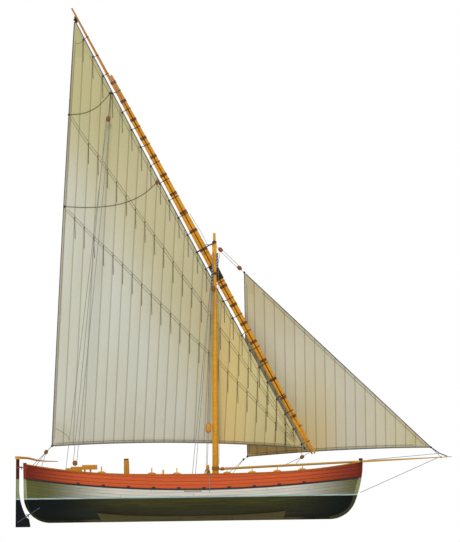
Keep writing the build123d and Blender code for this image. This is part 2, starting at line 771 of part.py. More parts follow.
def sail_shell(plane, clew, sagitta):
    """Cloth bent round an axis along the luff, from the luff at the plane's origin to the clew."""
    chord = hypot(*clew)
    radius = chord**2 / (8 * sagitta) + sagitta / 2
    along = (clew[0] / chord, clew[1] / chord)
    port = (along[1], -along[0])
    centre = (
        clew[0] / 2 + (sagitta - radius) * port[0],
        clew[1] / 2 + (sagitta - radius) * port[1],
    )
    middle = degrees(atan2(port[1], port[0]))
    spread = degrees(chord / radius) + 3
    with BuildPart() as shell:
        with BuildSketch(plane.offset(-3000)):
            with BuildLine():
                inner = CenterArc(centre, radius - CLOTH / 2, middle - spread / 2, spread)
                outer = CenterArc(centre, radius + CLOTH / 2, middle - spread / 2, spread)
                Line(inner @ 0, outer @ 0)
                Line(inner @ 1, outer @ 1)
            make_face()
        extrude(amount=26000)
    return shell.part


def in_plane(plane, point, y):
    """A place in the row frame, in a plane's own x and y."""
    here = plane.to_local_coords(Vector(point[0], y, point[1]))
    return here.X, here.Y


luff_plane = Plane(
    origin=Vector(MAIN_LUFF[0], YARD_Y, MAIN_LUFF[1]) - yard_plane.z_dir * 10000,
    x_dir=yard_plane.x_dir,
    z_dir=yard_plane.z_dir,
)
with BuildPart() as mainsail:
    with BuildSketch(Plane.XZ):
        with BuildLine():
            ThreePointArc(MAIN_HEAD, MAIN_LUFF, MAIN_TACK)
            ThreePointArc(MAIN_TACK, MAIN_FOOT, MAIN_CLEW)
            ThreePointArc(MAIN_CLEW, MAIN_LEECH, MAIN_HEAD)
        make_face()
    extrude(amount=-3000)
    add(
        sail_shell(luff_plane, in_plane(luff_plane, MAIN_CLEW, MAIN_CLEW_Y), MAIN_SAGITTA),
        mode=Mode.INTERSECT,
    )
write(mainsail.part, "mainsail")

jib_run = Vector(JIB_HEAD[0] - JIB_TACK[0], 0, JIB_HEAD[1] - JIB_TACK[1]).normalized()
jib_plane = Plane(
    origin=(JIB_TACK[0], JIB_LUFF_Y, JIB_TACK[1]), x_dir=(jib_run.Z, 0, -jib_run.X), z_dir=jib_run
)
with BuildPart() as jib:
    with BuildSketch(Plane.XZ.offset(500)):
        with BuildLine():
            Polyline(JIB_TACK, JIB_HEAD, JIB_CLEW)
            ThreePointArc(JIB_CLEW, JIB_FOOT, JIB_TACK)
        make_face()
    extrude(amount=-3500)
    add(
        sail_shell(jib_plane, in_plane(jib_plane, JIB_CLEW, JIB_CLEW_Y), JIB_SAGITTA),
        mode=Mode.INTERSECT,
    )
write(jib.part, "jib")

# Robands that tie the luff to the yard, and the lines that hold the jib.
with BuildPart() as robands:
    for i in range(ROBAND_COUNT):
        along = ROBAND_FIRST + ROBAND_PITCH * i + ROBAND_GROWTH * i**2
        root = yard_plane.origin + yard_plane.z_dir * along + yard_plane.x_dir * SPAR_SPLIT
        luff = root - yard_plane.x_dir * 1000
        add(cord(root, luff, ROBAND_R))
    with BuildSketch(Plane.XZ):
        with BuildLine():
            ThreePointArc(MAIN_HEAD, MAIN_LUFF, MAIN_TACK)
            Polyline(MAIN_TACK, (9000, MAIN_TACK[1]), (9000, 21000), (MAIN_HEAD[0], 21000), MAIN_HEAD)
        make_face()
    extrude(amount=3000, both=True, mode=Mode.INTERSECT)
    for neighbour in (yard_foot_spar, yard_peak_spar, wooldings.part, parrel.part):
        add(neighbour, mode=Mode.SUBTRACT)
write(robands.part, "robands")

with BuildPart() as jib_halyard:
    add(cord((JIB_HEAD[0], JIB_LUFF_Y, JIB_HEAD[1]), JIB_HALYARD_TOP, LINE_R))
    for neighbour in (jib, masthead_block, mast_band, mast_pole):
        add(neighbour.part, mode=Mode.SUBTRACT)
write(jib_halyard.part, "jib_halyard")

with BuildPart() as jib_traveller:
    traveller_z, traveller_r = bowsprit_at(JIB_TRAVELLER_X)
    with BuildSketch(Plane.YZ.offset(JIB_TRAVELLER_X - 12)):
        with Locations((BOWSPRIT_Y, traveller_z)):
            Circle(traveller_r + 22)
    extrude(amount=24)
    add(cord((JIB_TACK[0], JIB_LUFF_Y, JIB_TACK[1]), (JIB_TRAVELLER_X, BOWSPRIT_Y, traveller_z), LINE_R))
    for neighbour in (jib, bowsprit):
        add(neighbour.part, mode=Mode.SUBTRACT)
write(jib_traveller.part, "jib_traveller")

# Companion with a hatch that slides forward on two rails.
companion_mid = (COMPANION_X[0] + COMPANION_X[1]) / 2
companion_length = COMPANION_X[1] - COMPANION_X[0]
with BuildPart() as companion_coaming:
    with Locations((companion_mid, 0, (500 + COAMING_TOP) / 2)):
        Box(companion_length, 2 * COMPANION_HALF, COAMING_TOP - 500)
        Box(
            companion_length - 2 * COAMING_WALL,
            2 * (COMPANION_HALF - COAMING_WALL),
            COAMING_TOP,
            mode=Mode.SUBTRACT,
        )
    add(under_deck, mode=Mode.SUBTRACT)
write(companion_coaming.part, "companion_coaming")

with BuildPart() as slide_rails:
    rail_y = COMPANION_HALF - COAMING_WALL / 2
    rail_mid = (SLIDE_RAIL_X[0] + SLIDE_RAIL_X[1]) / 2
    with Locations(*[(rail_mid, s * rail_y, (COAMING_TOP + SLIDE_RAIL_TOP) / 2) for s in (1, -1)]):
        Box(SLIDE_RAIL_X[1] - SLIDE_RAIL_X[0], COAMING_WALL, SLIDE_RAIL_TOP - COAMING_TOP)
    post_height = COAMING_TOP - 500
    post_places = [(x, s * rail_y, 500 + post_height / 2) for x in SLIDE_POSTS for s in (1, -1)]
    with Locations(*post_places):
        Box(SLIDE_POST, COAMING_WALL, post_height)
    add(under_deck, mode=Mode.SUBTRACT)
write(slide_rails.part, "slide_rails")

with BuildPart() as companion_slide:
    slide_mid = (SLIDE_X[0] + SLIDE_X[1]) / 2
    slide_half = COMPANION_HALF + SLIDE_CLEAR + SLIDE_WALL
    seat = SLIDE_RAIL_TOP + SEAT_GAP
    with BuildSketch(Plane.YZ.offset(SLIDE_X[0])):
        with BuildLine():
            crown = ThreePointArc(
                (-slide_half, SLIDE_TOP - 22), (0, SLIDE_TOP), (slide_half, SLIDE_TOP - 22)
            )
            Polyline(
                (slide_half, SLIDE_TOP - 22),
                (slide_half, SLIDE_SKIRT),
                (slide_half - SLIDE_WALL, SLIDE_SKIRT),
                (slide_half - SLIDE_WALL, seat),
                (SLIDE_WALL - slide_half, seat),
                (SLIDE_WALL - slide_half, SLIDE_SKIRT),
                (-slide_half, SLIDE_SKIRT),
                (-slide_half, SLIDE_TOP - 22),
            )
        make_face()
    extrude(amount=SLIDE_X[1] - SLIDE_X[0])
write(companion_slide.part, "companion_slide")

# Hold hatch amidships with a lift-off cover.
with BuildPart() as hatch_coaming:
    with Locations((HATCH_X, 0, (300 + HATCH_TOP) / 2)):
        Box(*HATCH_SIZE, HATCH_TOP - 300)
        Box(
            HATCH_SIZE[0] - 2 * HATCH_WALL,
            HATCH_SIZE[1] - 2 * HATCH_WALL,
            HATCH_TOP,
            mode=Mode.SUBTRACT,
        )
    add(under_deck, mode=Mode.SUBTRACT)
write(hatch_coaming.part, "hatch_coaming")

with BuildPart() as hatch_cover:
    lip = HATCH_WALL + 10
    with Locations((HATCH_X, 0, HATCH_TOP + SEAT_GAP + HATCH_BOARD / 2)):
        Box(HATCH_SIZE[0] + 60, HATCH_SIZE[1] + 60, HATCH_BOARD)
    for x in (-1, 1):
        with Locations((HATCH_X + x * HATCH_SIZE[0] * 0.3, 0, HATCH_TOP + SEAT_GAP + HATCH_BOARD + 17)):
            Box(90, HATCH_SIZE[1] - 60, 34)
    with Locations((HATCH_X, 0, HATCH_TOP + SEAT_GAP - 20)):
        Box(HATCH_SIZE[0] - 2 * lip, HATCH_SIZE[1] - 2 * lip, 40)
write(hatch_cover.part, "hatch_cover")

# Bilge pump, a bored log with a spout notch.
with BuildPart() as pump_barrel:
    with BuildSketch(Plane.XZ):
        with BuildLine():
            Polyline(
                (PUMP_X, 400),
                (PUMP_X + PUMP_R[0], 400),
                (PUMP_X + PUMP_R[1], PUMP_TOP),
                (PUMP_X, PUMP_TOP),
                close=True,
            )
        make_face()
    revolve(axis=Axis((PUMP_X, 0, 0), (0, 0, 1)))
    with Locations((PUMP_X, 0, PUMP_TOP)):
        Cylinder(
            PUMP_BORE,
            PUMP_BORE_DEPTH,
            align=(Align.CENTER, Align.CENTER, Align.MAX),
            mode=Mode.SUBTRACT,
        )
    with Locations((PUMP_X + PUMP_R[0], 0, PUMP_TOP)):
        Box(2 * PUMP_R[0] - PUMP_BORE, PUMP_NOTCH[0], 2 * PUMP_NOTCH[1], mode=Mode.SUBTRACT)
    add(under_deck, mode=Mode.SUBTRACT)
write(pump_barrel.part, "pump_barrel")

# Thole pads and pins along the cap rails.
pad_length, pad_height, pad_width = THOLE_PAD
cap_mid = (CAP_PROUD - PLANKING - CAP_INBOARD) / 2
with BuildPart() as thole_pads:
    for x in THOLE_STATIONS:
        z = sheer_at(RAIL_LINE, x) + CAP_ABOVE
        y = half_breadth(x, z) + cap_mid
        for side in (1, -1):
            with BuildSketch(Plane.XZ.offset(-side * y)):
                with BuildLine():
                    Polyline(
                        (x - pad_length / 2, z - 15),
                        (x - pad_length / 2, z + pad_height / 3),
                        (x - pad_length / 4, z + pad_height),
                        (x + pad_length / 4, z + pad_height),
                        (x + pad_length / 2, z + pad_height / 3),
                        (x + pad_length / 2, z - 15),
                        close=True,
                    )
                make_face()
            extrude(amount=pad_width / 2, both=True)
    add(above_cap, mode=Mode.INTERSECT)
write(thole_pads.part, "thole_pads")

with BuildPart() as thole_pins:
    for x in THOLE_STATIONS:
        z = sheer_at(RAIL_LINE, x) + CAP_ABOVE
        y = half_breadth(x, z) + cap_mid
        with Locations(*[(x, side * y, z + pad_height) for side in (1, -1)]):
            Cylinder(THOLE_PIN_R, THOLE_PIN_TOP, align=(Align.CENTER, Align.CENTER, Align.MIN))
write(thole_pins.part, "thole_pins")

with BuildPart() as timberheads:
    head_z = sheer_at(RAIL_LINE, TIMBERHEAD_X) + CAP_ABOVE
    head_y = half_breadth(TIMBERHEAD_X, head_z) + cap_mid
    with Locations(*[(TIMBERHEAD_X, s * head_y, head_z - 10) for s in (1, -1)]):
        Box(*TIMBERHEAD, align=(Align.CENTER, Align.CENTER, Align.MIN))
    add(above_cap, mode=Mode.INTERSECT)
    chamfer(timberheads.faces().filter_by(Axis.Z).group_by(Axis.Z)[-1].edges(), 10)
write(timberheads.part, "timberheads")

# Halyard bitts abaft the mast.
with BuildPart() as mast_bitts:
    with Locations(*[(BITT_X, s * BITT_HALF_SPREAD, 300) for s in (1, -1)]):
        Box(*BITT, BITT_TOP - 300, align=(Align.CENTER, Align.CENTER, Align.MIN))
    chamfer(mast_bitts.faces().group_by(Axis.Z)[-1].edges(), 20)
    with Locations((BITT_X - 30, 0, 1010)):
        Box(70, 2 * BITT_HALF_SPREAD + 340, 90)
    add(under_deck, mode=Mode.SUBTRACT)
write(mast_bitts.part, "mast_bitts")

# Main stays: the weather shroud and the bobstay.
with BuildPart() as shroud:
    add(cord(*SHROUD, STAY_R))
    add(masthead_block.part, mode=Mode.SUBTRACT)
    add(above_cap, mode=Mode.INTERSECT)
write(shroud.part, "shroud")

with BuildPart() as bobstay:
    add(cord(*BOBSTAY, STAY_R))
    for neighbour in (bowsprit, backbone):
        add(neighbour.part, mode=Mode.SUBTRACT)
    add(outer_form, mode=Mode.SUBTRACT)
write(bobstay.part, "bobstay")
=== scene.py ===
# %% [markdown]
# The boat is already there as a imported CAD model: hull, spars, rudder, sails as plain solids. This
# script dresses it. It starts by loading that model as a fixed frame.

# %% Load the frame
import math
import random

import bmesh
import bpy
from mathutils import Matrix, Vector


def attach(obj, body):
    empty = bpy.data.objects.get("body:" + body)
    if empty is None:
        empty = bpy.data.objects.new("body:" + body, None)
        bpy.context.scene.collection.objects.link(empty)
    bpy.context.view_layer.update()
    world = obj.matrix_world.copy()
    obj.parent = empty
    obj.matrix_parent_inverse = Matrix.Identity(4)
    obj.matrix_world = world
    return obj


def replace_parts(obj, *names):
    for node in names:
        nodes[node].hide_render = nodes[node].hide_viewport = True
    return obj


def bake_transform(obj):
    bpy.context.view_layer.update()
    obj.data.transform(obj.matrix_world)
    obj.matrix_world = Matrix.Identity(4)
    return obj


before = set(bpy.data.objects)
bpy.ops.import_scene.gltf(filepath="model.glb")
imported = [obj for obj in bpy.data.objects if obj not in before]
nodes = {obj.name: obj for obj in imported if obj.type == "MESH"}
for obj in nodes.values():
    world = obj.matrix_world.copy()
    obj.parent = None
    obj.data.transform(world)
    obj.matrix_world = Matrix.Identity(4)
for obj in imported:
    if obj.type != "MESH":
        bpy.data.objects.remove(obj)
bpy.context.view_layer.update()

# %% [markdown]
# The photograph shows the boat square from its starboard side, with the whole underwater body. A
# very long lens far away gives that flat view. The camera stands exactly at the level of the floor,
# which is the water's surface here, so the floor is seen edge on and hides nothing of the keel. The
# small roll gives the boat the slight tilt it has in the picture.

# %% Camera
PIXEL = 0.04
IMAGE_HEIGHT = 542
CAMERA_DISTANCE = 800.0
VIEW_CENTRE = Vector((1.6205, 0.0, 9.0105))
ROLL = -0.0138

camera_data = bpy.data.cameras.new("camera")
camera_data.sensor_width = 36.0
camera_data.lens = camera_data.sensor_width * CAMERA_DISTANCE / (PIXEL * IMAGE_HEIGHT)
camera_data.clip_end = 2000.0
camera = bpy.data.objects.new("camera", camera_data)
bpy.context.scene.collection.objects.link(camera)
camera.location = (VIEW_CENTRE.x, -CAMERA_DISTANCE, 0.0)
aim = (VIEW_CENTRE - camera.location).to_track_quat("-Z", "Y").to_matrix()
camera.matrix_world = Matrix.Translation(camera.location) @ aim.to_4x4() @ Matrix.Rotation(ROLL, 4, "Z")
bpy.context.scene.camera = camera
print("lens", round(camera_data.lens, 1), "mm")

# %% [markdown]
# A studio for a thing this large needs little: an even pale world, one broad soft sun from the
# viewer's left and above, and a weaker one from below that reaches the underwater body, which the
# floor would otherwise keep in shadow. A third lights the port side. The world is paper white only
# for the camera and for reflections, and that adds no light to the boat.


# %% Helpers for nodes and colours
def linear(code):
    """Linear colour of an sRGB hex code."""
    parts = [int(code[i : i + 2], 16) / 255 for i in (1, 3, 5)]
    return [c / 12.92 if c <= 0.04045 else ((c + 0.055) / 1.055) ** 2.4 for c in parts] + [1.0]


COLOUR = 2


def node(tree, kind, inputs=(), out=0, **settings):
    """Adds a node with its settings, sets or links its inputs, and returns one of its outputs."""
    made = tree.nodes.new("ShaderNode" + kind)
    for key, value in settings.items():
        setattr(made, key, value)
    for place, value in inputs.items() if isinstance(inputs, dict) else enumerate(inputs):
        if isinstance(value, bpy.types.NodeSocket):
            tree.links.new(value, made.inputs[place])
        else:
            made.inputs[place].default_value = linear(value) if isinstance(value, str) else value
    return made.outputs[out] if made.outputs else None


# %% World
world = bpy.data.worlds.new("studio")
bpy.context.scene.world = world
world.use_nodes = True
sky = world.node_tree
sky.nodes.clear()
rays = [node(sky, "LightPath", out=f"Is {kind} Ray") for kind in ("Camera", "Glossy", "Transmission")]
seen = node(sky, "Math", rays[:2], operation="MAXIMUM")
seen = node(sky, "Math", (seen, rays[2]), operation="MAXIMUM")
soft_light = node(sky, "Background", ("#F4F6FA", 0.62))
paper = node(sky, "Background", ("#FFFFFF", 1.0))
node(sky, "OutputWorld", (node(sky, "MixShader", (seen, soft_light, paper)),))

# %% Lamps
# Columns: name, direction the light travels, strength, angular size in degrees.
SUNS = [
    ("key_sun", (0.10, 1.0, -0.70), 1.55, 14.0),
    ("bottom_sun", (0.15, 1.0, 0.3), 0.55, 20.0),
    ("port_sun", (-0.3, -1.0, -0.8), 0.75, 25.0),
]
for name, heading, strength, size in SUNS:
    lamp = bpy.data.lights.new(name, "SUN")
    lamp.energy = strength
    lamp.angle = math.radians(size)
    holder = bpy.data.objects.new(name, lamp)
    bpy.context.scene.collection.objects.link(holder)
    holder.rotation_euler = Vector(heading).to_track_quat("-Z", "Y").to_euler()
print(len(SUNS), "suns")

# %% Floor
FLOOR_RADIUS = 60.0
floor_shape = bmesh.new()
bmesh.ops.create_circle(floor_shape, cap_ends=True, segments=96, radius=FLOOR_RADIUS)
floor_mesh = bpy.data.meshes.new("floor")
floor_shape.to_mesh(floor_mesh)
floor_shape.free()
floor = bpy.data.objects.new("floor", floor_mesh)
bpy.context.scene.collection.objects.link(floor)
floor_paint = bpy.data.materials.new("matt_studio_floor")
floor_paint.use_nodes = True
floor_look = floor_paint.node_tree.nodes["Principled BSDF"].inputs
floor_look["Base Color"].default_value = linear("#EDEDEA")
floor_look["Roughness"].default_value = 0.9
floor_mesh.materials.append(floor_paint)
print("floor at the waterline, radius", FLOOR_RADIUS)

# %% [markdown]
# The hull's lines. The solids were cut from a table of waterlines, each three tangent arcs a side,
# and from two sheer lines. The same table is repeated here in metres, so that planks, paint lines
# and rigging can be set out on the hull. Between its rows a smooth curve is used instead of
# straight steps, which gives a fair surface to lay the planking on.

# %% Hull lines
# Columns: level, half breadth amidships, half breadth at the quarters, aft rabbet, fore rabbet.
WATERLINES = [
    (-0.860, 0.075, 0.070, -5.850, 5.450),
    (-0.780, 0.640, 0.400, -6.110, 5.800),
    (-0.640, 1.260, 0.860, -6.300, 6.070),
    (-0.420, 1.700, 1.300, -6.495, 6.280),
    (-0.100, 1.960, 1.600, -6.600, 6.412),
    (0.250, 2.075, 1.765, -6.626, 6.512),
    (0.800, 2.150, 1.890, -6.637, 6.648),
    (1.560, 2.170, 1.930, -6.617, 6.672),
]
QUARTER = 3.0
POST_HALF = 0.06
SHEER_X = 0.3
WALE_LINE = (0.322, 50.0, (-7.0, 0.886), (7.0, 0.732))
RAIL_LINE = (0.893, 100.0, (-7.0, 1.456), (7.0, 1.356))
CAP_ABOVE = 0.025
KEEL_TOP = WATERLINES[0][0]
print(len(WATERLINES), "waterlines")


# %% Places on the hull
def on_arc(start, tangent, end, x):
    """Ordinate at x of the arc that leaves start along tangent and ends at end."""
    size = math.hypot(*tangent)
    across = (-tangent[1] / size, tangent[0] / size)
    run = (end[0] - start[0], end[1] - start[1])
    lean = 2 * (run[0] * across[0] + run[1] * across[1])
    if abs(lean) < 1e-9:
        return start[1] + (x - start[0]) * tangent[1] / tangent[0]
    radius = (run[0] ** 2 + run[1] ** 2) / lean
    centre = (start[0] + radius * across[0], start[1] + radius * across[1])
    reach = math.sqrt(max(radius**2 - (x - centre[0]) ** 2, 0.0))
    return centre[1] - reach if centre[1] > start[1] else centre[1] + reach


def sheer_at(line, x):
    """Height of a sheer line at x."""
    low, radius, aft, fore = line
    away = x - SHEER_X
    if abs(away) <= QUARTER:
        return low + radius - math.sqrt(radius**2 - away**2)
    side = 1 if away > 0 else -1
    rise = radius - math.sqrt(radius**2 - QUARTER**2)
    start = (SHEER_X + side * QUARTER, low + rise)
    return on_arc(start, (side * (radius - rise), QUARTER), fore if side > 0 else aft, x)


def fair_row(z):
    """The waterline's values at any level, from a smooth curve through the table."""
    z = min(max(z, WATERLINES[0][0]), WATERLINES[-1][0])
    i = max(k for k, row in enumerate(WATERLINES[:-1]) if row[0] <= z)
    below, above = WATERLINES[i], WATERLINES[i + 1]
    step = above[0] - below[0]
    t = (z - below[0]) / step
    values = []
    for column in range(1, 5):
        slopes = []
        for k in range(max(i - 1, 0), min(i + 2, len(WATERLINES) - 1)):
            rise = WATERLINES[k + 1][column] - WATERLINES[k][column]
            slopes.append(rise / (WATERLINES[k + 1][0] - WATERLINES[k][0]))
        here = slopes[1] if i > 0 else slopes[0]
        start, end = (2 * s * here / (s + here) if s * here > 0 else 0.0 for s in (slopes[0], slopes[-1]))
        a, b = below[column], above[column]
        values.append(
            (2 * t**3 - 3 * t**2 + 1) * a
            + (t**3 - 2 * t**2 + t) * step * start
            + (3 * t**2 - 2 * t**3) * b
            + (t**3 - t**2) * step * end
        )
    return values


def half_breadth(x, z):
    """Half breadth to the outside of the planking."""
    mid, quarter, aft, fore = fair_row(z)
    sag = mid - quarter
    radius = (QUARTER**2 + sag**2) / (2 * sag)
    if abs(x) <= QUARTER:
        return mid - radius + math.sqrt(radius**2 - x**2)
    end = abs(fore if x > 0 else aft)
    if abs(x) >= end:
        return POST_HALF
    return max(on_arc((QUARTER, quarter), (radius - sag, -QUARTER), (end, POST_HALF), abs(x)), POST_HALF)


print("beam at the rail", round(2 * half_breadth(0, sheer_at(RAIL_LINE, 0)), 2), "m")

# %% [markdown]
# Every finish on this boat is either oil paint on sawn planks, oiled or bare softwood, cotton
# canvas, hemp or iron. Real ones differ in colour first, and then in how dirt and wear lie in them:
# long streaks along the grain or the brush, and dark lines where two planks meet. So the helpers
# here are those steps, a fade between two colours, streaks of a stain, and seams, and each finish
# further down is a few of them one after another.


# %% Steps that the finishes share
def start_material(name, roughness, shine=0.5):
    """Creates a material with a Principled shader and returns it, its tree and that shader."""
    material = bpy.data.materials.new(name)
    material.use_nodes = True
    tree = material.node_tree
    tree.nodes.clear()
    settings = {"Roughness": roughness, "IOR": 1.5, "Specular IOR Level": shine}
    surface = node(tree, "BsdfPrincipled", settings)
    node(tree, "OutputMaterial", {"Surface": surface})
    return material, tree, surface.node


def boat_place(tree):
    """x, y and z of each point of the boat in metres."""
    parts = node(tree, "SeparateXYZ", (node(tree, "TexCoord", out="Object"),)).node
    return parts.outputs[:3]


def fade(tree, place, near, far, first, last):
    """Colour that goes softly from first to last between two places."""
    share = node(tree, "MapRange", (place, near, far), interpolation_type="SMOOTHSTEP")
    return node(tree, "Mix", {0: share, 6: first, 7: last}, COLOUR, data_type="RGBA")


def streaks(tree, size, turn=(0.0, 0.0, 0.0)):
    """Noise drawn out to the given size in metres along x, y and z of the turned boat."""
    place = node(tree, "TexCoord", out="Object")
    turned = node(tree, "Mapping", {"Vector": place, "Rotation": turn, "Scale": [1 / s for s in size]})
    return node(tree, "TexNoise", {"Vector": turned, "Scale": 1.0, "Detail": 5.0})


def weather(tree, colour, stain, size, amount, turn=(0.0, 0.0, 0.0)):
    """Works streaks of a stain into a colour. Returns the colour and the streaks."""
    grain = streaks(tree, size, turn)
    strength = node(tree, "MapRange", (grain, 0.35, 0.7, 0.0, amount), interpolation_type="SMOOTHSTEP")
    return node(tree, "Mix", {0: strength, 6: colour, 7: stain}, COLOUR, data_type="RGBA"), grain


def seam_lines(tree, count, width):
    """1 on a line at each whole number of count, 0 between. Width is a share of the spacing."""
    away = node(tree, "Math", (count, 0.5), operation="PINGPONG")
    return node(tree, "MapRange", (away, width * 0.35, width, 1.0, 0.0), interpolation_type="SMOOTHSTEP")


def plank_rows(tree, count, metres, length, seam, butt):
    """Seams and staggered butts between planks, and a random tone for each row of them."""
    row = node(tree, "Math", (count,), operation="FLOOR")
    shift = node(tree, "Math", (row, 0.37 * length, metres), operation="MULTIPLY_ADD")
    ends = seam_lines(tree, node(tree, "Math", (shift, length), operation="DIVIDE"), butt)
    lines = node(tree, "Math", (seam_lines(tree, count, seam), ends), operation="MAXIMUM")
    return lines, node(tree, "TexWhiteNoise", {"W": row}, noise_dimensions="1D")


def cover_surface(tree, shader, colour, relief, depth):
    """Joins a colour, and a relief of a real depth in metres, to the shader."""
    tree.links.new(colour, shader.inputs["Base Color"])
    normal = node(tree, "Bump", {"Height": relief, "Strength": 1.0, "Distance": depth})
    tree.links.new(normal, shader.inputs["Normal"])


# %% [markdown]
# Oiled pine shows long streaks of resin along each spar, so its noise is turned with the spar and
# drawn out along it. Grain is really under a millimetre wide. It is drawn 20 mm wide here, which is
# as coarse as it needs to be to show from where the boat is seen.


# %% Wood and iron
def oiled_wood(name, light, dark, grain, turn=(0.0, 0.0, 0.0)):
    """Oiled wood, half glossy, with streaks of the given length and width in metres."""
    material, tree, shader = start_material(name, 0.5, 0.2)
    colour, _ = weather(tree, light, dark, [g * 6 for g in grain], 0.45, turn)
    colour, fine = weather(tree, colour, dark, grain, 0.75, turn)
    cover_surface(tree, shader, colour, fine, 0.0015)
    return material


def tarred(name, colour, worn):
    """Old tar over iron or wood: nearly black, dull and uneven, brown where it has worn off."""
    material, tree, shader = start_material(name, 0.6)
    colour, wear = weather(tree, colour, worn, (0.06, 0.06, 0.06), 0.6)
    cover_surface(tree, shader, colour, wear, 0.002)
    return material


# %% The yard's line
# The yard's ends, and the directions along it, across it to forward, and out to port.
YARD_Y = 0.235
YARD_FOOT = Vector((4.851, YARD_Y, 1.633))
YARD_PEAK = Vector((-4.553, YARD_Y, 19.657))
yard_up = (YARD_PEAK - YARD_FOOT).normalized()
yard_out = Vector((yard_up.z, 0.0, -yard_up.x))
port = Vector((0.0, 1.0, 0.0))
print("yard", round((YARD_PEAK - YARD_FOOT).length, 2), "m from foot to peak")

# %% Plain finishes
mast_pine = oiled_wood("oiled_pine_mast", "#E0A022", "#C08014", (1.8, 0.02, 0.02), (0, math.pi / 2, 0))
bowsprit_pine = oiled_wood("oiled_pine_bowsprit", "#CC9A3C", "#A87424", (1.2, 0.02, 0.02))
trim_oak = oiled_wood("oiled_oak_trim", "#DE9A2A", "#B27018", (0.5, 0.02, 0.02))
rail_oak = oiled_wood("oiled_oak_rail", "#B8741E", "#8A4E14", (0.5, 0.02, 0.02))
tiller_ash = oiled_wood("oiled_ash_tiller", "#BE7A1E", "#8C5214", (0.7, 0.018, 0.018))
block_elm = oiled_wood("elm_blocks", "#96581E", "#5A3410", (0.06, 0.01, 0.01))
strap_iron = tarred("tarred_iron", "#211D1A", "#5A2F1A")
print(len(bpy.data.materials), "materials with the floor's")

# %% Pine of the yard
# The yard is browner towards its peak, and has painted shade along the groove between its two
# spars. The groove lies a little forward of the line from foot to peak.
GROOVE_FORWARD = 0.020
yard_pine, tree, shader = start_material("oiled_pine_yard", 0.5, 0.2)
place = node(tree, "TexCoord", out="Object")
from_line = node(tree, "VectorMath", (place, yard_out), 1, operation="DOT_PRODUCT")
up_line = node(tree, "VectorMath", (place, yard_up), 1, operation="DOT_PRODUCT")
groove_at = YARD_FOOT.dot(yard_out) + GROOVE_FORWARD
off_groove = node(tree, "Math", (from_line, groove_at), operation="SUBTRACT")
off_groove = node(tree, "Math", (off_groove,), operation="ABSOLUTE")
# Painted shade along the groove between the two spars.
groove_shade = node(tree, "MapRange", (off_groove, 0.012, 0.034, 0.9, 0.0), interpolation_type="SMOOTHSTEP")
doubled_length = node(tree, "MapRange", (up_line, 0.5, 1.2))
groove_shade = node(tree, "Math", (groove_shade, doubled_length), operation="MULTIPLY")
turn = (0, math.atan2(yard_up.z, -yard_up.x), 0)
colour = fade(tree, up_line, 12.0, 19.0, "#D99A1E", "#B4741C")
colour, fine = weather(tree, colour, "#A8620E", (1.4, 0.022, 0.022), 0.7, turn)
colour = node(tree, "Mix", {0: groove_shade, 6: colour, 7: "#5A2A0A"}, COLOUR, data_type="RGBA")
cover_surface(tree, shader, colour, fine, 0.0015)
print("groove_shade", round(groove_at, 3), "m along x and z of the leaning yard")

# %% Worn iron and the pump's oak
# Rusty iron of the rudder hangings, rubbed grey under water.
hanging_iron, tree, shader = start_material("rusty_hangings", 0.7, 0.3)
colour = fade(tree, boat_place(tree)[2], -0.2, 0.2, "#46504C", "#8A4A3A")
colour, rust = weather(tree, colour, "#3A2018", (0.05, 0.05, 0.05), 0.4)
cover_surface(tree, shader, colour, rust, 0.001)

# The pump's barrel is painted black at its top, round its mouth.
pump_oak, tree, shader = start_material("pump_oak_black_top", 0.5, 0.2)
colour = fade(tree, boat_place(tree)[2], 1.49, 1.53, "#D0902A", "#1E120A")
colour, fine = weather(tree, colour, "#8A5412", (0.02, 0.02, 0.5), 0.6)
cover_surface(tree, shader, colour, fine, 0.0015)
wale_tar = tarred("black_wale_paint", "#0A0807", "#1A110C")
print(hanging_iron.name, pump_oak.name, wale_tar.name)

# %% [markdown]
# The boat's colour changes along its length. Orange-red oil paint on the bulwarks is bright
# amidships and darkened towards the ends with painted shade, and the seams between its planks follow
# the sheer. A curve node repeats the sheer's height for each place along the boat, so that the seams
# run parallel to it.


# %% Bulwark paint
def sheer_height(tree, line):
    """The sheer line's height at each point, by a curve over the boat's length."""
    span = 14.0
    along = node(tree, "MapRange", (boat_place(tree)[0], -span / 2, span / 2))
    height = node(tree, "FloatCurve", {"Value": along})
    curve = height.node.mapping.curves[0]
    shares = [i / 12 for i in range(13)]
    heights = [sheer_at(line, (share - 0.5) * span) / 2 for share in shares]
    curve.points[0].location = (0.0, heights[0])
    curve.points[1].location = (1.0, heights[-1])
    for share, half in list(zip(shares, heights))[1:-1]:
        curve.points.new(share, half)
    height.node.mapping.update()
    return node(tree, "Math", (height, 2.0), operation="MULTIPLY")


PLANK_HIGH = 0.145
red_paint, tree, shader = start_material("red_oil_paint", 0.6, 0.15)
x, _, z = boat_place(tree)
above_sheer = node(tree, "Math", (z, sheer_height(tree, WALE_LINE)), operation="SUBTRACT")
seam = seam_lines(tree, node(tree, "Math", (above_sheer, PLANK_HIGH), operation="DIVIDE"), 0.10)
far = node(tree, "Math", (x,), operation="ABSOLUTE")
# Darker towards the ends, darkest aft: painted shade.
ends = fade(tree, x, -1.0, 1.0, "#5E140C", "#6E2316")
colour = fade(tree, far, 3.8, 6.8, "#CC5C30", ends)
colour, brush = weather(tree, colour, "#B2461C", (0.7, 0.03, 0.03), 0.3)
open_seam = node(tree, "MapRange", (far, 3.0, 5.5, 0.6, 0.85))
seam_dark = node(tree, "Math", (seam, open_seam), operation="MULTIPLY")
colour = node(tree, "Mix", {0: seam_dark, 6: colour, 7: "#4E160C"}, COLOUR, data_type="RGBA")
relief = node(tree, "Math", (brush, seam), operation="SUBTRACT")
cover_surface(tree, shader, colour, relief, 0.003)
print("bulwark planks", PLANK_HIGH, "m high")
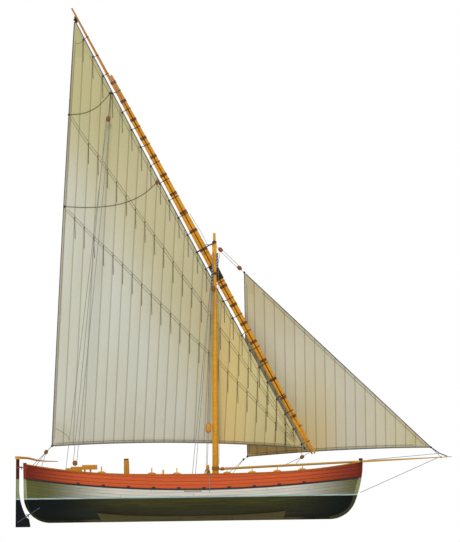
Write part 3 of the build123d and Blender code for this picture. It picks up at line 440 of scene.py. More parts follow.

# %% [markdown]
# Below the wale the planking is pale and turns olive towards the ends; a thin pale line marks the
# water, and under it the bottom has dark tarry paint, with painted shade that darkens it towards the
# keel and the ends. The planking piece further down carries strakes in its UV map, u in metres and
# v in strakes, so the seams follow the real planks; the same colours without seams go on the posts.


# %% Bottom and topside paint
def hull_colour(tree, pale, pale_end, bottom_at_water, dark, dark_end):
    """Colour over the height: topside paint, waterline stripe, bottom paint with painted shade."""
    x, _, z = boat_place(tree)
    far = node(tree, "Math", (node(tree, "Math", (x, 0.4), operation="SUBTRACT"),), operation="ABSOLUTE")
    topside = fade(tree, far, 3.1, 6.5, pale, pale_end)
    topside, _ = weather(tree, topside, pale_end, (0.9, 0.5, 0.05), 0.2)
    # Painted shade: the bottom darkens towards the keel and towards the ends.
    bottom = fade(tree, far, 2.2, 6.0, fade(tree, z, -0.75, 0.0, dark, bottom_at_water), dark_end)
    bottom, _ = weather(tree, bottom, dark_end, (0.9, 0.5, 0.05), 0.4)
    wet = node(tree, "MapRange", (z, -0.03, -0.02))
    colour = node(tree, "Mix", {0: wet, 6: bottom, 7: topside}, COLOUR, data_type="RGBA")
    off_water = node(tree, "Math", (z,), operation="ABSOLUTE")
    stripe = node(tree, "MapRange", (off_water, 0.022, 0.032, 1.0, 0.0))
    return node(tree, "Mix", {0: stripe, 6: colour, 7: "#B7CFCC"}, COLOUR, data_type="RGBA")


# %% Planking paint
# Oil paint over carvel planking: hairline seams between strakes, and butts staggered between them.
planking_finish, tree, shader = start_material("planking_paint", 0.8, 0.08)
colour = hull_colour(tree, "#E3E1D8", "#62633A", "#55532C", "#33311A", "#151C1A")
strake_place = node(tree, "SeparateXYZ", (node(tree, "UVMap", uv_map="strakes"),)).node
lines, tone = plank_rows(tree, strake_place.outputs[1], strake_place.outputs[0], 4.6, 0.06, 0.0018)
tone = node(tree, "Math", (tone, 0.22), operation="MULTIPLY")
toned = {0: tone, 6: colour, 7: "#A59C7C"}
colour = node(tree, "Mix", toned, COLOUR, data_type="RGBA", blend_type="MULTIPLY")
seam_dark = node(tree, "Math", (lines, 0.5), operation="MULTIPLY")
colour = node(tree, "Mix", {0: seam_dark, 6: colour, 7: "#2A2416"}, COLOUR, data_type="RGBA")
relief = node(tree, "Math", (streaks(tree, (0.5, 0.5, 0.02)), lines), operation="SUBTRACT")
cover_surface(tree, shader, colour, relief, 0.004)
print(planking_finish.name)

# %% Paint of the posts
# Painted oak of the stem, sternpost and rudder: dark red above the wale, olive and black below it.
post_finish, tree, shader = start_material("post_paint", 0.75, 0.12)
x, _, z = boat_place(tree)
off_hinge = node(tree, "Math", (z, 0.1256, x), operation="MULTIPLY_ADD")


def post_colour(rudder, stern, bow):
    """One paint for the rudder, one for the sternpost and one for the stem."""
    posts = fade(tree, x, -0.5, 0.5, stern, bow)
    return fade(tree, off_hinge, -6.675, -6.665, rudder, posts)


above = post_colour("#858C62", "#9A9C70", "#8E8E66")
under = post_colour("#12191F", "#262E15", "#45482A")
lower = hull_colour(tree, above, above, under, under, under)
paint_line = node(tree, "Math", (x, 0.0097, z), operation="MULTIPLY_ADD")
colour = fade(tree, paint_line, 0.73, 0.74, lower, post_colour("#4A1611", "#842E1E", "#66251A"))
capped = node(tree, "MapRange", (z, 1.405, 1.41))
iron_cap = node(tree, "Math", (capped, x), operation="MULTIPLY", use_clamp=True)
colour = node(tree, "Mix", {0: iron_cap, 6: colour, 7: "#15120F"}, COLOUR, data_type="RGBA")
colour, grain = weather(tree, colour, "#2A1A10", (0.03, 0.03, 0.6), 0.35)
cover_surface(tree, shader, colour, grain, 0.002)
print(post_finish.name)

# %% Tar on the keel
# Tar on the keel and bilge keels, paler amidships; towards the ends it darkens with painted shade.
keel_finish, tree, shader = start_material("tarred_keel", 0.8, 0.1)
far = node(tree, "Math", (boat_place(tree)[0],), operation="ABSOLUTE")
colour = fade(tree, far, 3.9, 4.7, "#625A3A", "#141B17")
colour, rubbed = weather(tree, colour, "#443C22", (0.6, 0.05, 0.04), 0.5)
cover_surface(tree, shader, colour, rubbed, 0.003)

# %% [markdown]
# The deck is scrubbed pine: narrow planks along the boat, caulked with black pitch. Its planks are
# straight, so their rows come from how far each point lies from the middle of the boat.

# %% Deck planks
DECK_PLANK = 0.11
deck_finish, tree, shader = start_material("scrubbed_pine_deck", 0.7)
x, y, _ = boat_place(tree)
across = node(tree, "Math", (y, DECK_PLANK), operation="DIVIDE")
lines, tone = plank_rows(tree, across, x, 3.8, 0.05, 0.002)
colour = node(tree, "Mix", {0: tone, 6: "#B9A47C", 7: "#A18A60"}, COLOUR, data_type="RGBA")
colour, grain = weather(tree, colour, "#86704A", (0.6, 0.012, 0.012), 0.5)
colour = node(tree, "Mix", {0: lines, 6: colour, 7: "#1D1712"}, COLOUR, data_type="RGBA")
relief = node(tree, "Math", (grain, lines), operation="SUBTRACT")
cover_surface(tree, shader, colour, relief, 0.003)
print(len(bpy.data.materials), "materials so far")


# %% Finish the CAD pieces that stay
KEPT = [
    (red_paint, ["bulwark_port", "bulwark_starboard", "stanchions_port", "stanchions_starboard"]),
    (rail_oak, ["cap_rail_port", "cap_rail_starboard"]),
    (trim_oak, ["thole_pads", "thole_pins", "timberheads", "mast_partner", "mast_bitts", "tiller_head"]),
    (trim_oak, ["companion_coaming", "companion_slide", "slide_rails", "hatch_coaming", "hatch_cover"]),
    (pump_oak, ["pump_barrel"]),
    (wale_tar, ["wale_port", "wale_starboard"]),
    (post_finish, ["stem", "sternpost", "rudder"]),
    (keel_finish, ["keel", "bilge_keel_port", "bilge_keel_starboard"]),
    (planking_finish, ["hull_planking", "hull_planking_companion", "hull_planking_aft"]),
    (deck_finish, ["deck", "deck_companion", "deck_aft"]),
    (strap_iron, ["gammon_iron", "mast_band", "jib_traveller"]),
    (hanging_iron, ["gudgeons", "pintles"]),
    (yard_pine, ["yard_foot_spar", "yard_peak_spar"]),
    (mast_pine, ["mast", "mast_pole", "masthead_block"]),
    (bowsprit_pine, ["bowsprit"]),
    (tiller_ash, ["tiller"]),
    (block_elm, ["masthead_sheave"]),
]
for material, names in KEPT:
    for name in names:
        slots = nodes[name].data.materials
        slots.clear()
        slots.append(material)
print("finished", sum(len(names) for _, names in KEPT), "CAD nodes")

# %% [markdown]
# The planking is the boat's largest surface. Real strakes run unbroken from stem to sternpost and
# taper towards both, so a grid is made, one row of it for each place up the girth, and its vertices
# are moved on to the fair hull. Each row keeps its share of the girth amidships and its share of
# the rabbet at the ends, and that gives the planks their taper and sweep.


# %% Piece maker
def make_piece(name, shape, material, body, smooth=True):
    """Turns a bmesh into an object that rides on a body."""
    mesh = bpy.data.meshes.new(name)
    shape.to_mesh(mesh)
    shape.free()
    mesh.materials.append(material)
    for face in mesh.polygons:
        face.use_smooth = smooth
    piece = bpy.data.objects.new(name, mesh)
    bpy.context.scene.collection.objects.link(piece)
    if body:
        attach(piece, body)
    return piece


# %% Rows of the planking
def part_way(top, column, count, share):
    """Place at a share of the length of a line of the hull that runs from the keel up to top."""
    steps = [KEEL_TOP + (top - KEEL_TOP) * i / count for i in range(count + 1)]
    places = [(fair_row(z)[column], z) for z in steps]
    run = [0.0]
    for a, b in zip(places, places[1:]):
        run.append(run[-1] + math.dist(a, b))
    goal = share * run[-1]
    i = min(max(k for k, r in enumerate(run) if r <= goal + 1e-9), len(run) - 2)
    t = (goal - run[i]) / (run[i + 1] - run[i])
    return [a + (b - a) * t for a, b in zip(places[i], places[i + 1])]


def rabbet(side, share):
    """Place on the fore or aft rabbet, at a share of its length from the keel to the wale."""
    return part_way(sheer_at(WALE_LINE, 6.6 * side), 3 if side > 0 else 2, 60, share)


def mid_height(share):
    """Height amidships at a share of the girth from keel to wale."""
    return part_way(sheer_at(WALE_LINE, SHEER_X), 0, 80, share)[1]


# %% Planking over the solid hull
STRAKES, STRAKE_LENGTH = 17, 13.2
ALONG, UP = 110, 44
SKIN_PROUD = 0.003
WALE_LAP = 0.012
low_wale = sheer_at(WALE_LINE, SHEER_X)
shape = bmesh.new()
bmesh.ops.create_grid(shape, x_segments=ALONG, y_segments=UP, size=0.5, calc_uvs=False)
strake_map = shape.loops.layers.uv.new("strakes")
for face in shape.faces:
    for loop in face.loops:
        u, v = loop.vert.co.x + 0.5, loop.vert.co.y + 0.5
        loop[strake_map].uv = (u * STRAKE_LENGTH, v * STRAKES)
rows = {}
for vertex in shape.verts:
    u, v = vertex.co.x + 0.5, vertex.co.y + 0.5
    key = round(v, 5)
    if key not in rows:
        rows[key] = (rabbet(-1, v), mid_height(v), rabbet(1, v))
    (aft_x, aft_z), mid_z, (fore_x, fore_z) = rows[key]
    x = aft_x + (fore_x - aft_x) * u
    end_x, end_z = (fore_x, fore_z) if x > SHEER_X else (aft_x, aft_z)
    sweep = (sheer_at(WALE_LINE, x) - low_wale) / (sheer_at(WALE_LINE, end_x) - low_wale)
    z = mid_z + (end_z - mid_z) * sweep - WALE_LAP * v
    vertex.co = (x, -half_breadth(x, z) - SKIN_PROUD, z)
whole = shape.verts[:] + shape.edges[:] + shape.faces[:]
bmesh.ops.mirror(shape, geom=whole, matrix=Matrix.Identity(4), merge_dist=0.0001, axis="Y")
bmesh.ops.recalc_face_normals(shape, faces=shape.faces[:])
planking = make_piece("planking", shape, planking_finish, "hull")
print("planking", len(planking.data.polygons), "faces")

# %% [markdown]
# Each scupper is closed from outside by a flap of tarred leather, which lets water out and keeps the
# sea from coming in. A strip of it covers a seam below the wale on each side. The foot of the yard
# is fished: a tapered length of pine is laid beside the lower spar where the upper one ends, and
# makes the yard's end as stout as the rest.

# %% Scupper flaps
# Sizes are length, thickness and height.
FLAP, STRIP = (0.135, 0.010, 0.056), (0.70, 0.012, 0.020)
FLAP_FIRST, FLAP_PITCH, FLAP_UP = -4.56, 1.004, 0.034
STRIP_X, STRIP_Z = 0.025, 0.222
flaps = bmesh.new()
for side in (-1, 1):
    for i in range(10):
        x = FLAP_FIRST + FLAP_PITCH * i
        z = sheer_at(WALE_LINE, x) + FLAP_UP
        slope = math.atan2(half_breadth(x + 0.1, z) - half_breadth(x - 0.1, z), 0.2) * side
        place = Matrix.Translation((x, side * (half_breadth(x, z) + 0.012), z))
        place = place @ Matrix.Rotation(slope, 4, "Z") @ Matrix.Diagonal((*FLAP, 1.0))
        bmesh.ops.create_cube(flaps, size=1.0, matrix=place)
    place = Matrix.Translation((STRIP_X, side * (half_breadth(STRIP_X, STRIP_Z) + 0.003), STRIP_Z))
    bmesh.ops.create_cube(flaps, size=1.0, matrix=place @ Matrix.Diagonal((*STRIP, 1.0)))
leather = tarred("tarred_leather", "#0A0706", "#1C110A")
flap_piece = make_piece("scupper_flaps", flaps, leather, "hull", smooth=False)
print(len(flap_piece.data.polygons) // 6, "flaps and strips")

# %% Fish on the yard's foot
FISH_FROM, FISH_TO, FISH_OFF = 0.03, 1.78, -0.030
middle = YARD_FOOT + yard_up * (FISH_FROM + FISH_TO) / 2 + yard_out * FISH_OFF
place = Matrix.Translation(middle) @ yard_up.to_track_quat("Z", "Y").to_matrix().to_4x4()
fish = bmesh.new()
bmesh.ops.create_cone(
    fish, cap_ends=True, segments=24, radius1=0.034, radius2=0.064, depth=FISH_TO - FISH_FROM,
    matrix=place,
)
fish_piece = make_piece("yard_foot_fish", fish, yard_pine, "yard")
print("fish", round(FISH_TO - FISH_FROM, 2), "m long")

# %% [markdown]
# Cordage. A rope is a round tube along its route, with a twist that shows close up. Routes are
# short lists of points, so a curve with a bevel is the quick way to draw them, and the curve is
# then made a mesh.


# %% Rope maker
def hemp(name, colour, dark):
    """Laid rope, dull and fibrous: dark lines between strands, drawn 30 mm apart so that they show."""
    material, tree, shader = start_material(name, 0.85)
    place = node(tree, "TexCoord", out="Object")
    strand = node(tree, "TexWave", {"Vector": place, "Scale": 10.0}, bands_direction="DIAGONAL")
    body = node(tree, "Mix", {0: strand, 6: dark, 7: colour}, COLOUR, data_type="RGBA")
    body, _ = weather(tree, body, dark, (0.2, 0.2, 0.2), 0.4)
    cover_surface(tree, shader, body, strand, 0.002)
    return material


grey_hemp = hemp("weathered_hemp", "#9A988C", "#6E6C5F")
edge_hemp = hemp("old_bolt_rope", "#6C7376", "#3F484C")
brail_hemp = hemp("oiled_brail_rope", "#5E5742", "#3C3626")
wet_hemp = hemp("bleached_wet_rope", "#93A6B2", "#708490")
brown_hemp = hemp("tarred_hemp", "#7E431A", "#46230C")
black_hemp = hemp("tarred_marline", "#2E2822", "#15110E")
fair_hemp = hemp("new_manila", "#C98A2B", "#8E5A1A")


def rope_mesh(name, runs, diameter, smooth=False, closed=False, sides=2):
    """Tubes along routes, as one mesh. Smooth routes only pass near their inner points."""
    line = bpy.data.curves.new(name, "CURVE")
    line.dimensions = "3D"
    line.bevel_depth = diameter / 2
    line.bevel_resolution = sides
    line.resolution_u = 5
    line.use_fill_caps = not closed
    for run in runs:
        spline = line.splines.new("NURBS" if smooth else "POLY")
        spline.points.add(len(run) - 1)
        for point, place in zip(spline.points, run):
            point.co = (*place, 1.0)
        spline.use_cyclic_u = closed
        if smooth:
            spline.use_endpoint_u = not closed
            spline.order_u = 3
    holder = bpy.data.objects.new(name, line)
    mesh = bpy.data.meshes.new_from_object(holder)
    bpy.data.objects.remove(holder)
    bpy.data.curves.remove(line)
    for face in mesh.polygons:
        face.use_smooth = True
    return mesh


def rope(name, runs, diameter, material, body=None, **options):
    """A piece of one or more ropes, riding on a body if one is given."""
    mesh = rope_mesh(name, runs, diameter, **options)
    mesh.materials.clear()
    mesh.materials.append(material)
    piece = bpy.data.objects.new(name, mesh)
    bpy.context.scene.collection.objects.link(piece)
    if body:
        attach(piece, body)
    return piece

# %% [markdown]
# The yard is two pine spars lashed side by side. The lashings, the robands and the luff of the
# mainsail are all set out along it, so the shape of its two spars at any distance from the foot is
# worth having as a function.

# %% The yard's two spars
# Each spar: where its axis lies across the yard, and its radius at distances from the yard's foot.
FOOT_SPAR = (0.078, [(0.0, 0.038), (8.6, 0.108), (17.2, 0.046)])
PEAK_SPAR = (-0.032, [(1.57, 0.050), (9.6, 0.100), (20.3, 0.034)])


def spars_at(along):
    """Axis and radius of each spar that is there at a distance along the yard."""
    there = []
    for axis, stations in (FOOT_SPAR, PEAK_SPAR):
        for (a, ra), (b, rb) in zip(stations, stations[1:]):
            if a <= along <= b:
                there.append((axis, ra + (rb - ra) * (along - a) / (b - a)))
                break
    return there


def round_spars(along, lift, count=24):
    """Closed loop drawn tight round the spars, held off them by lift."""
    loop = []
    for i in range(count):
        angle = 2 * math.pi * i / count
        outward, sideways = math.cos(angle), math.sin(angle)
        axis, radius = max(spars_at(along), key=lambda spar: spar[0] * outward + spar[1])
        away = axis + (radius + lift) * outward
        loop.append(YARD_FOOT + yard_up * along + yard_out * away + port * ((radius + lift) * sideways))
    return loop


def turns_at(along, count, pitch, lift):
    """Turns of rope side by side round the spars, their middle at a distance along the yard."""
    return [round_spars(along + (k - (count - 1) / 2) * pitch, lift) for k in range(count)]


# %% Wooldings and collar
WOOLDING_FIRST, WOOLDING_PITCH, WOOLDING_COUNT = 1.72, 0.843, 19
TURNS, TURN_PITCH, TURN_ROPE = 4, 0.031, 0.020
COLLAR_AT, COLLAR_LENGTH = 8.26, 0.70
COLLAR_PITCH, COLLAR_ROPE = 0.032, 0.030
turns = []
for i in range(WOOLDING_COUNT):
    along = WOOLDING_FIRST + WOOLDING_PITCH * i
    if abs(along - COLLAR_AT) >= COLLAR_LENGTH / 2 + 0.09:
        turns += turns_at(along, TURNS, TURN_PITCH, TURN_ROPE / 2 + 0.001)
wooldings = rope("woolding_turns", turns, TURN_ROPE, brown_hemp, "yard", closed=True, sides=1)
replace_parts(wooldings, "wooldings")
collar = turns_at(COLLAR_AT, int(COLLAR_LENGTH / COLLAR_PITCH), COLLAR_PITCH, COLLAR_ROPE / 2 + 0.003)
rope("collar_turns", collar, COLLAR_ROPE, black_hemp, "yard", closed=True, sides=1)
print(len(turns), "turns of lashing")

# %% [markdown]
# A lateen hangs against its mast in a parrel: strops of rope round the mast, which let the yard
# swing and slide. They are rings of rope round the mast, seized to the yard's collar.

# %% Parrel
MAST_FOOT = Vector((0.925, 0.0, 0.3))
MAST_TOP = Vector((1.015, 0.0, 10.54))
STROP_RADIUS, STROP_ROPE, STROP_APART = 0.118, 0.042, 0.053
mast_up = (MAST_TOP - MAST_FOOT).normalized()
mast_fore = Vector((mast_up.z, 0.0, -mast_up.x))


def mast_at(height):
    """Point on the mast's axis at a height."""
    return MAST_FOOT + (MAST_TOP - MAST_FOOT) * ((height - MAST_FOOT.z) / (MAST_TOP.z - MAST_FOOT.z))


def mast_ring(height, radius, count=24):
    """Closed loop round the mast."""
    centre = mast_at(height)
    angles = [2 * math.pi * i / count for i in range(count)]
    return [centre + mast_fore * (radius * math.cos(a)) + port * (radius * math.sin(a)) for a in angles]


parrel_height = (YARD_FOOT + yard_up * COLLAR_AT).z
parrel_rings = [mast_ring(parrel_height - down, STROP_RADIUS) for down in (0.0, STROP_APART)]
parrel = rope("parrel_strops", parrel_rings, STROP_ROPE, brown_hemp, "yard", closed=True)
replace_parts(parrel, "parrel")
print("parrel", round(parrel_height, 2), "m above the water")

# %% [markdown]
# The sails are the boat's largest pieces. Each is bent round an axis along its luff, so it bellies
# to port as a real sail does and its luff stays straight. A grid is made with as many columns as
# give a smooth belly, and each vertex is put first on the sail's outline and then on that curve.


# %% Sail surfaces
class Belly:
    """The curve of a sail: a cylinder whose axis lies along the luff."""

    def __init__(self, luff, up, luff_y, clew, clew_y, sagitta):
        self.luff, self.luff_y = luff, luff_y
        self.out = (up.z, -up.x)
        run = ((clew[0] - luff[0]) * self.out[0] + (clew[1] - luff[1]) * self.out[1], clew_y - luff_y)
        chord = math.hypot(*run)
        self.radius = chord**2 / (8 * sagitta) + sagitta / 2
        side = (run[1] / chord, -run[0] / chord)
        back = sagitta - self.radius
        self.centre = (run[0] / 2 + back * side[0], run[1] / 2 + back * side[1])

    def y(self, x, z):
        across = (x - self.luff[0]) * self.out[0] + (z - self.luff[1]) * self.out[1]
        reach = math.sqrt(self.radius**2 - (across - self.centre[0]) ** 2)
        return self.luff_y + self.centre[1] + reach


def arc_through(start, middle, end, t):
    """Point on the arc through three points, or on the straight line where there is no middle."""
    (ax, ay), (cx, cy) = start, end
    if middle is None:
        return [ax + (cx - ax) * t, ay + (cy - ay) * t]
    bx, by = middle
    twice = 2 * (ax * (by - cy) + bx * (cy - ay) + cx * (ay - by))
    aa, bb, cc = ax**2 + ay**2, bx**2 + by**2, cx**2 + cy**2
    ux = (aa * (by - cy) + bb * (cy - ay) + cc * (ay - by)) / twice
    uy = (aa * (cx - bx) + bb * (ax - cx) + cc * (bx - ax)) / twice
    first, last = math.atan2(ay - uy, ax - ux), math.atan2(cy - uy, cx - ux)
    turn = (last - first + math.pi) % (2 * math.pi) - math.pi
    radius = math.hypot(ax - ux, ay - uy)
    return [ux + radius * math.cos(first + turn * t), uy + radius * math.sin(first + turn * t)]


def outline(tack, luff, head, clew, leech, foot, ease):
    """A sail's outline, as a function of s from leech to luff and t from foot to head."""

    def flat(s, t):
        back, front = arc_through(clew, leech, head, t), arc_through(tack, luff, head, t)
        low = zip(arc_through(clew, foot, tack, s), arc_through(clew, None, tack, s))
        drop = [(curved - plain) * (1 - t) ** ease for curved, plain in low]
        return [a + (b - a) * s + d for a, b, d in zip(back, front, drop)]

    return flat


# %% Lines of the two sails
# x and z of each sail's corners and of the middle of each curved edge.
MAIN_HEAD, MAIN_LUFF, MAIN_TACK = (-4.464, 19.155), (-0.760, 11.876), (4.503, 1.890)
MAIN_FOOT, MAIN_CLEW, MAIN_LEECH = (0.326, 2.160), (-5.603, 2.106), (-5.080, 10.600)
JIB_HEAD, JIB_TACK = (2.192, 8.943), (9.558, 1.848)
JIB_CLEW, JIB_FOOT = (2.222, 1.585), (5.657, 1.790)
JIB_Y, JIB_CLEW_Y, MAIN_CLEW_Y = -0.060, 1.250, 0.500
jib_up = Vector((JIB_HEAD[0] - JIB_TACK[0], 0.0, JIB_HEAD[1] - JIB_TACK[1])).normalized()
main_belly = Belly(MAIN_LUFF, yard_up, YARD_Y, MAIN_CLEW, MAIN_CLEW_Y, 0.575)
jib_belly = Belly(JIB_TACK, jib_up, JIB_Y, JIB_CLEW, JIB_CLEW_Y, 0.370)
main_flat = outline(MAIN_TACK, MAIN_LUFF, MAIN_HEAD, MAIN_CLEW, MAIN_LEECH, MAIN_FOOT, 6)
jib_flat = outline(JIB_TACK, None, JIB_HEAD, JIB_CLEW, None, JIB_FOOT, 5)
print("radius of the belly", round(main_belly.radius, 1), "and", round(jib_belly.radius, 1), "m")

# %% [markdown]
# The canvas is sewn from narrow cloths that run straight up the sail, with a doubled seam where two
# overlap. The real weave is far too fine to show at this distance, so what the eye gets is the row
# of seams, the darker doubled edge inside the bolt rope, and slow stains: cool grey in the middle
# of the sail and warm tan where the cloth is old or doubled. Some zones are painted light and shade:
# a golden band fills the mast's shadow on the mainsail, the jib's lower aft part has golden painted
# shade, and its corner in the mainsail's shadow is painted lighter. Each cloth is also painted a
# little darker towards one seam, as shade. The UV map holds the place on the sail, at 20 m to a unit.

# %% Canvas
UV_UNIT = 20.0


def share_of(tree, values, limits):
    """Product of soft steps, each given as (which value, where 0, where 1)."""
    product = None
    for which, low, high in limits:
        step = node(tree, "MapRange", (values[which], low, high), interpolation_type="SMOOTHSTEP")
        product = step if product is None else node(tree, "Math", (product, step), operation="MULTIPLY")
    return product


def canvas(name, cloth_width, first_seam, lean, cool, zones):
    """Cotton canvas, dull, with seams a cloth apart. Zones are (colour, strength, limits)."""
    material, tree, shader = start_material(name, 0.9, 0.1)
    sail_place = node(tree, "SeparateXYZ", (node(tree, "UVMap", uv_map="sail"),)).node
    x, z = [node(tree, "Math", (sail_place.outputs[i], UV_UNIT), operation="MULTIPLY") for i in (0, 1)]
    count = node(tree, "Math", (z, -lean, x), operation="MULTIPLY_ADD")
    count = node(tree, "Math", (count, first_seam), operation="SUBTRACT")
    count = node(tree, "Math", (count, cloth_width), operation="DIVIDE")
    to_luff = node(tree, "Math", (x, yard_out.x), operation="MULTIPLY")
    to_luff = node(tree, "Math", (z, yard_out.z, to_luff), operation="MULTIPLY_ADD")
    colour = cool
    for tint, strength, limits in zones:
        here = node(tree, "Math", (share_of(tree, (x, z, to_luff), limits), strength), operation="MULTIPLY")
        colour = node(tree, "Mix", {0: here, 6: colour, 7: tint}, COLOUR, data_type="RGBA")
    colour, _ = weather(tree, colour, "#B9AE84", (1.4, 1.4, 2.4), 0.18)
    cloth = node(tree, "Math", (count,), operation="FLOOR")
    seam = seam_lines(tree, count, 0.085)
    # Columns: pattern, how much of it, the tint it gives.
    patterns = [
        (node(tree, "TexWhiteNoise", {"W": cloth}, noise_dimensions="1D"), 0.06, "#C9C4B2"),
        # The second pattern darkens each cloth towards one of its seams: painted shade.
        (node(tree, "Math", (count,), operation="FRACT"), 0.10, "#D0C5A4"),
        (seam, 0.50, "#AE9668"),
        (node(tree, "Attribute", out="Fac", attribute_name="doubling"), 0.22, "#D2C69C"),
    ]
    for pattern, amount, tint in patterns:
        share = node(tree, "Math", (pattern, amount), operation="MULTIPLY")
        tinted = {0: share, 6: colour, 7: tint}
        colour = node(tree, "Mix", tinted, COLOUR, data_type="RGBA", blend_type="MULTIPLY")
    colour, slub = weather(tree, colour, "#A39C86", (0.012, 0.012, 0.16), 0.12)
    shader.inputs["Sheen Weight"].default_value = 0.1
    cover_surface(tree, shader, colour, node(tree, "Math", (slub, seam), operation="ADD"), 0.004)
    return material


# %% The two canvases
# Limits name 0 for x, 1 for z and 2 for the distance towards the yard, in metres.
SEAM_FIRST, SEAM_PITCH, SEAM_LEAN = -5.300, 0.4035, 0.065
MAIN_ZONES = [
    ("#BFB68C", 0.9, [(2, 1.0, 3.8)]),
    ("#B5AF80", 0.85, [(1, 11.5, 16.5)]),
    ("#D2C488", 0.75, [(0, 0.4, 1.8), (1, 10.5, 6.0)]),
    # Painted light: a golden band that fills the mast's shadow on the sail.
    ("#E2C270", 0.5, [(0, 0.5, 1.15), (0, 2.8, 1.3), (1, 9.5, 5.5)]),
]
JIB_SEAM_FIRST, JIB_SEAM_PITCH, JIB_SEAM_LEAN = 2.611, 0.397, -0.004
JIB_ZONES = [
    ("#C4B78A", 0.8, [(1, 4.6, 8.4)]),
    ("#C8BC90", 0.7, [(0, 5.6, 9.2)]),
    # The third zone is golden painted shade on the jib's lower aft part; the fourth is painted light on its
    # corner in the mainsail's shadow.
    ("#CDB874", 0.5, [(0, 6.6, 5.0), (1, 7.0, 3.0)]),
    ("#E6CA84", 0.85, [(0, 6.2, 4.2), (1, 4.2, 1.4)]),
]
main_canvas = canvas("cotton_canvas_main", SEAM_PITCH, SEAM_FIRST, SEAM_LEAN, "#C9CABC", MAIN_ZONES)
jib_canvas = canvas(
    "cotton_canvas_jib", JIB_SEAM_PITCH, JIB_SEAM_FIRST, JIB_SEAM_LEAN, "#D2CFC0", JIB_ZONES
)
print("cloths", SEAM_PITCH, "and", JIB_SEAM_PITCH, "m wide")

# %% Sails
CLOTH = 0.004
DOUBLED_EDGE = 0.13
# The head is a point, so the cloth ends a little below it.
HEAD_SHARE = 0.994


def sail_piece(name, flat, belly, across, up, material, corners, body):
    """A sail as a grid laid on its outline and its belly, with doubled cloth at edges and corners."""
    shape = bmesh.new()
    bmesh.ops.create_grid(shape, x_segments=across, y_segments=up, size=0.5)
    sail_map = shape.loops.layers.uv.new("sail")
    doubling = shape.verts.layers.float.new("doubling")
    for vertex in shape.verts:
        s, t = vertex.co.x + 0.5, min(vertex.co.y + 0.5, HEAD_SHARE)
        x, z = flat(s, t)
        gap = min(math.dist((x, z), edge) for edge in (flat(0.0, t), flat(1.0, t), flat(s, 0.0)))
        near = min(math.dist((x, z), corner) / size for corner, size in corners)
        vertex[doubling] = max(1.0 if gap < DOUBLED_EDGE else 0.0, 0.8 if near < 1.0 else 0.0)
        vertex.co = (x, belly.y(x, z), z)
    for face in shape.faces:
        for loop in face.loops:
            loop[sail_map].uv = (loop.vert.co.x / UV_UNIT, loop.vert.co.z / UV_UNIT)
    area = sum(face.calc_area() for face in shape.faces)
    piece = make_piece(name, shape, material, None)
    thick = piece.modifiers.new("cloth", "SOLIDIFY")
    thick.thickness = CLOTH
    thick.offset = 0.0
    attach(piece, body)
    print(name, "area", round(area, 1), "m2")
    return piece, area


main_corners = [(MAIN_HEAD, 1.5), (MAIN_TACK, 1.3), (MAIN_CLEW, 1.0)]
jib_corners = [(JIB_HEAD, 0.9), (JIB_TACK, 0.9), (JIB_CLEW, 0.8)]
mainsail, main_area = sail_piece(
    "mainsail_cloth", main_flat, main_belly, 110, 130, main_canvas, main_corners, "yard"
)
jib, jib_area = sail_piece("jib_cloth", jib_flat, jib_belly, 80, 80, jib_canvas, jib_corners, "hull")
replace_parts(mainsail, "mainsail")
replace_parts(jib, "jib")

# %% [markdown]
# Round every edge of a sail runs a bolt rope, grey with weather. It is the thin dark outline that
# the photograph shows. Inside it, a line of stitching holds the hem.


# %% Bolt ropes and hems
def edge_run(flat, belly, side, count=60):
    """Points along one edge of a sail: 'luff', 'leech' or 'foot'."""
    points = []
    for i in range(count + 1):
        share = i / count
        high = min(share, HEAD_SHARE)
        x, z = flat(*{"luff": (1.0, high), "leech": (0.0, high), "foot": (share, 0.0)}[side])
        points.append((x, belly.y(x, z), z))
    return points


def hem_run(flat, belly, side, inset, off, count=60):
    """Stitching of a hem: points along one edge, inset from it, on one face of the cloth."""
    points = []
    for i in range(1, count):
        share = i / count
        wide = math.dist(flat(0.0, share), flat(1.0, share))
        high = (flat(share, 0.1)[1] - flat(share, 0.0)[1]) * 10
        if wide < 5 * inset:
            break
        places = {"luff": (1 - inset / wide, share), "leech": (inset / wide, share)}
        x, z = flat(*places.get(side, (share, inset / high)))
        points.append((x, belly.y(x, z) + off, z))
    return points


EDGES = ("luff", "leech", "foot")
main_edges = [edge_run(main_flat, main_belly, side) for side in EDGES]
jib_edges = [edge_run(jib_flat, jib_belly, side, 40) for side in EDGES]
main_bolt = rope("main_bolt_rope", main_edges, 0.038, edge_hemp, "yard")
jib_bolt = rope("jib_bolt_rope", jib_edges, 0.036, edge_hemp, "hull")
# Columns: edge, how far in from it the hem is stitched.
HEMS = [("luff", 0.16), ("leech", 0.09), ("foot", 0.10)]
for name, flat, belly, body in (
    ("main_hems", main_flat, main_belly, "yard"), ("jib_hems", jib_flat, jib_belly, "hull")
):
    runs = [hem_run(flat, belly, side, inset, off) for side, inset in HEMS for off in (-0.006, 0.006)]
    rope(name, runs, 0.013, brail_hemp, body, sides=1)
print(len(main_edges) + len(jib_edges), "edges roped and hemmed")

# %% [markdown]
# The mainsail has two reef bands that run across it from the leech to the tack, and a third row
# along the yard. At every seam a reef point hangs down on each side. They are laid on the sail
# from a few places read off the photograph, through the sail's own curve.

# %% Places on the mainsail
SAIL_OFF = 0.016
BAND_WIDE = 0.088
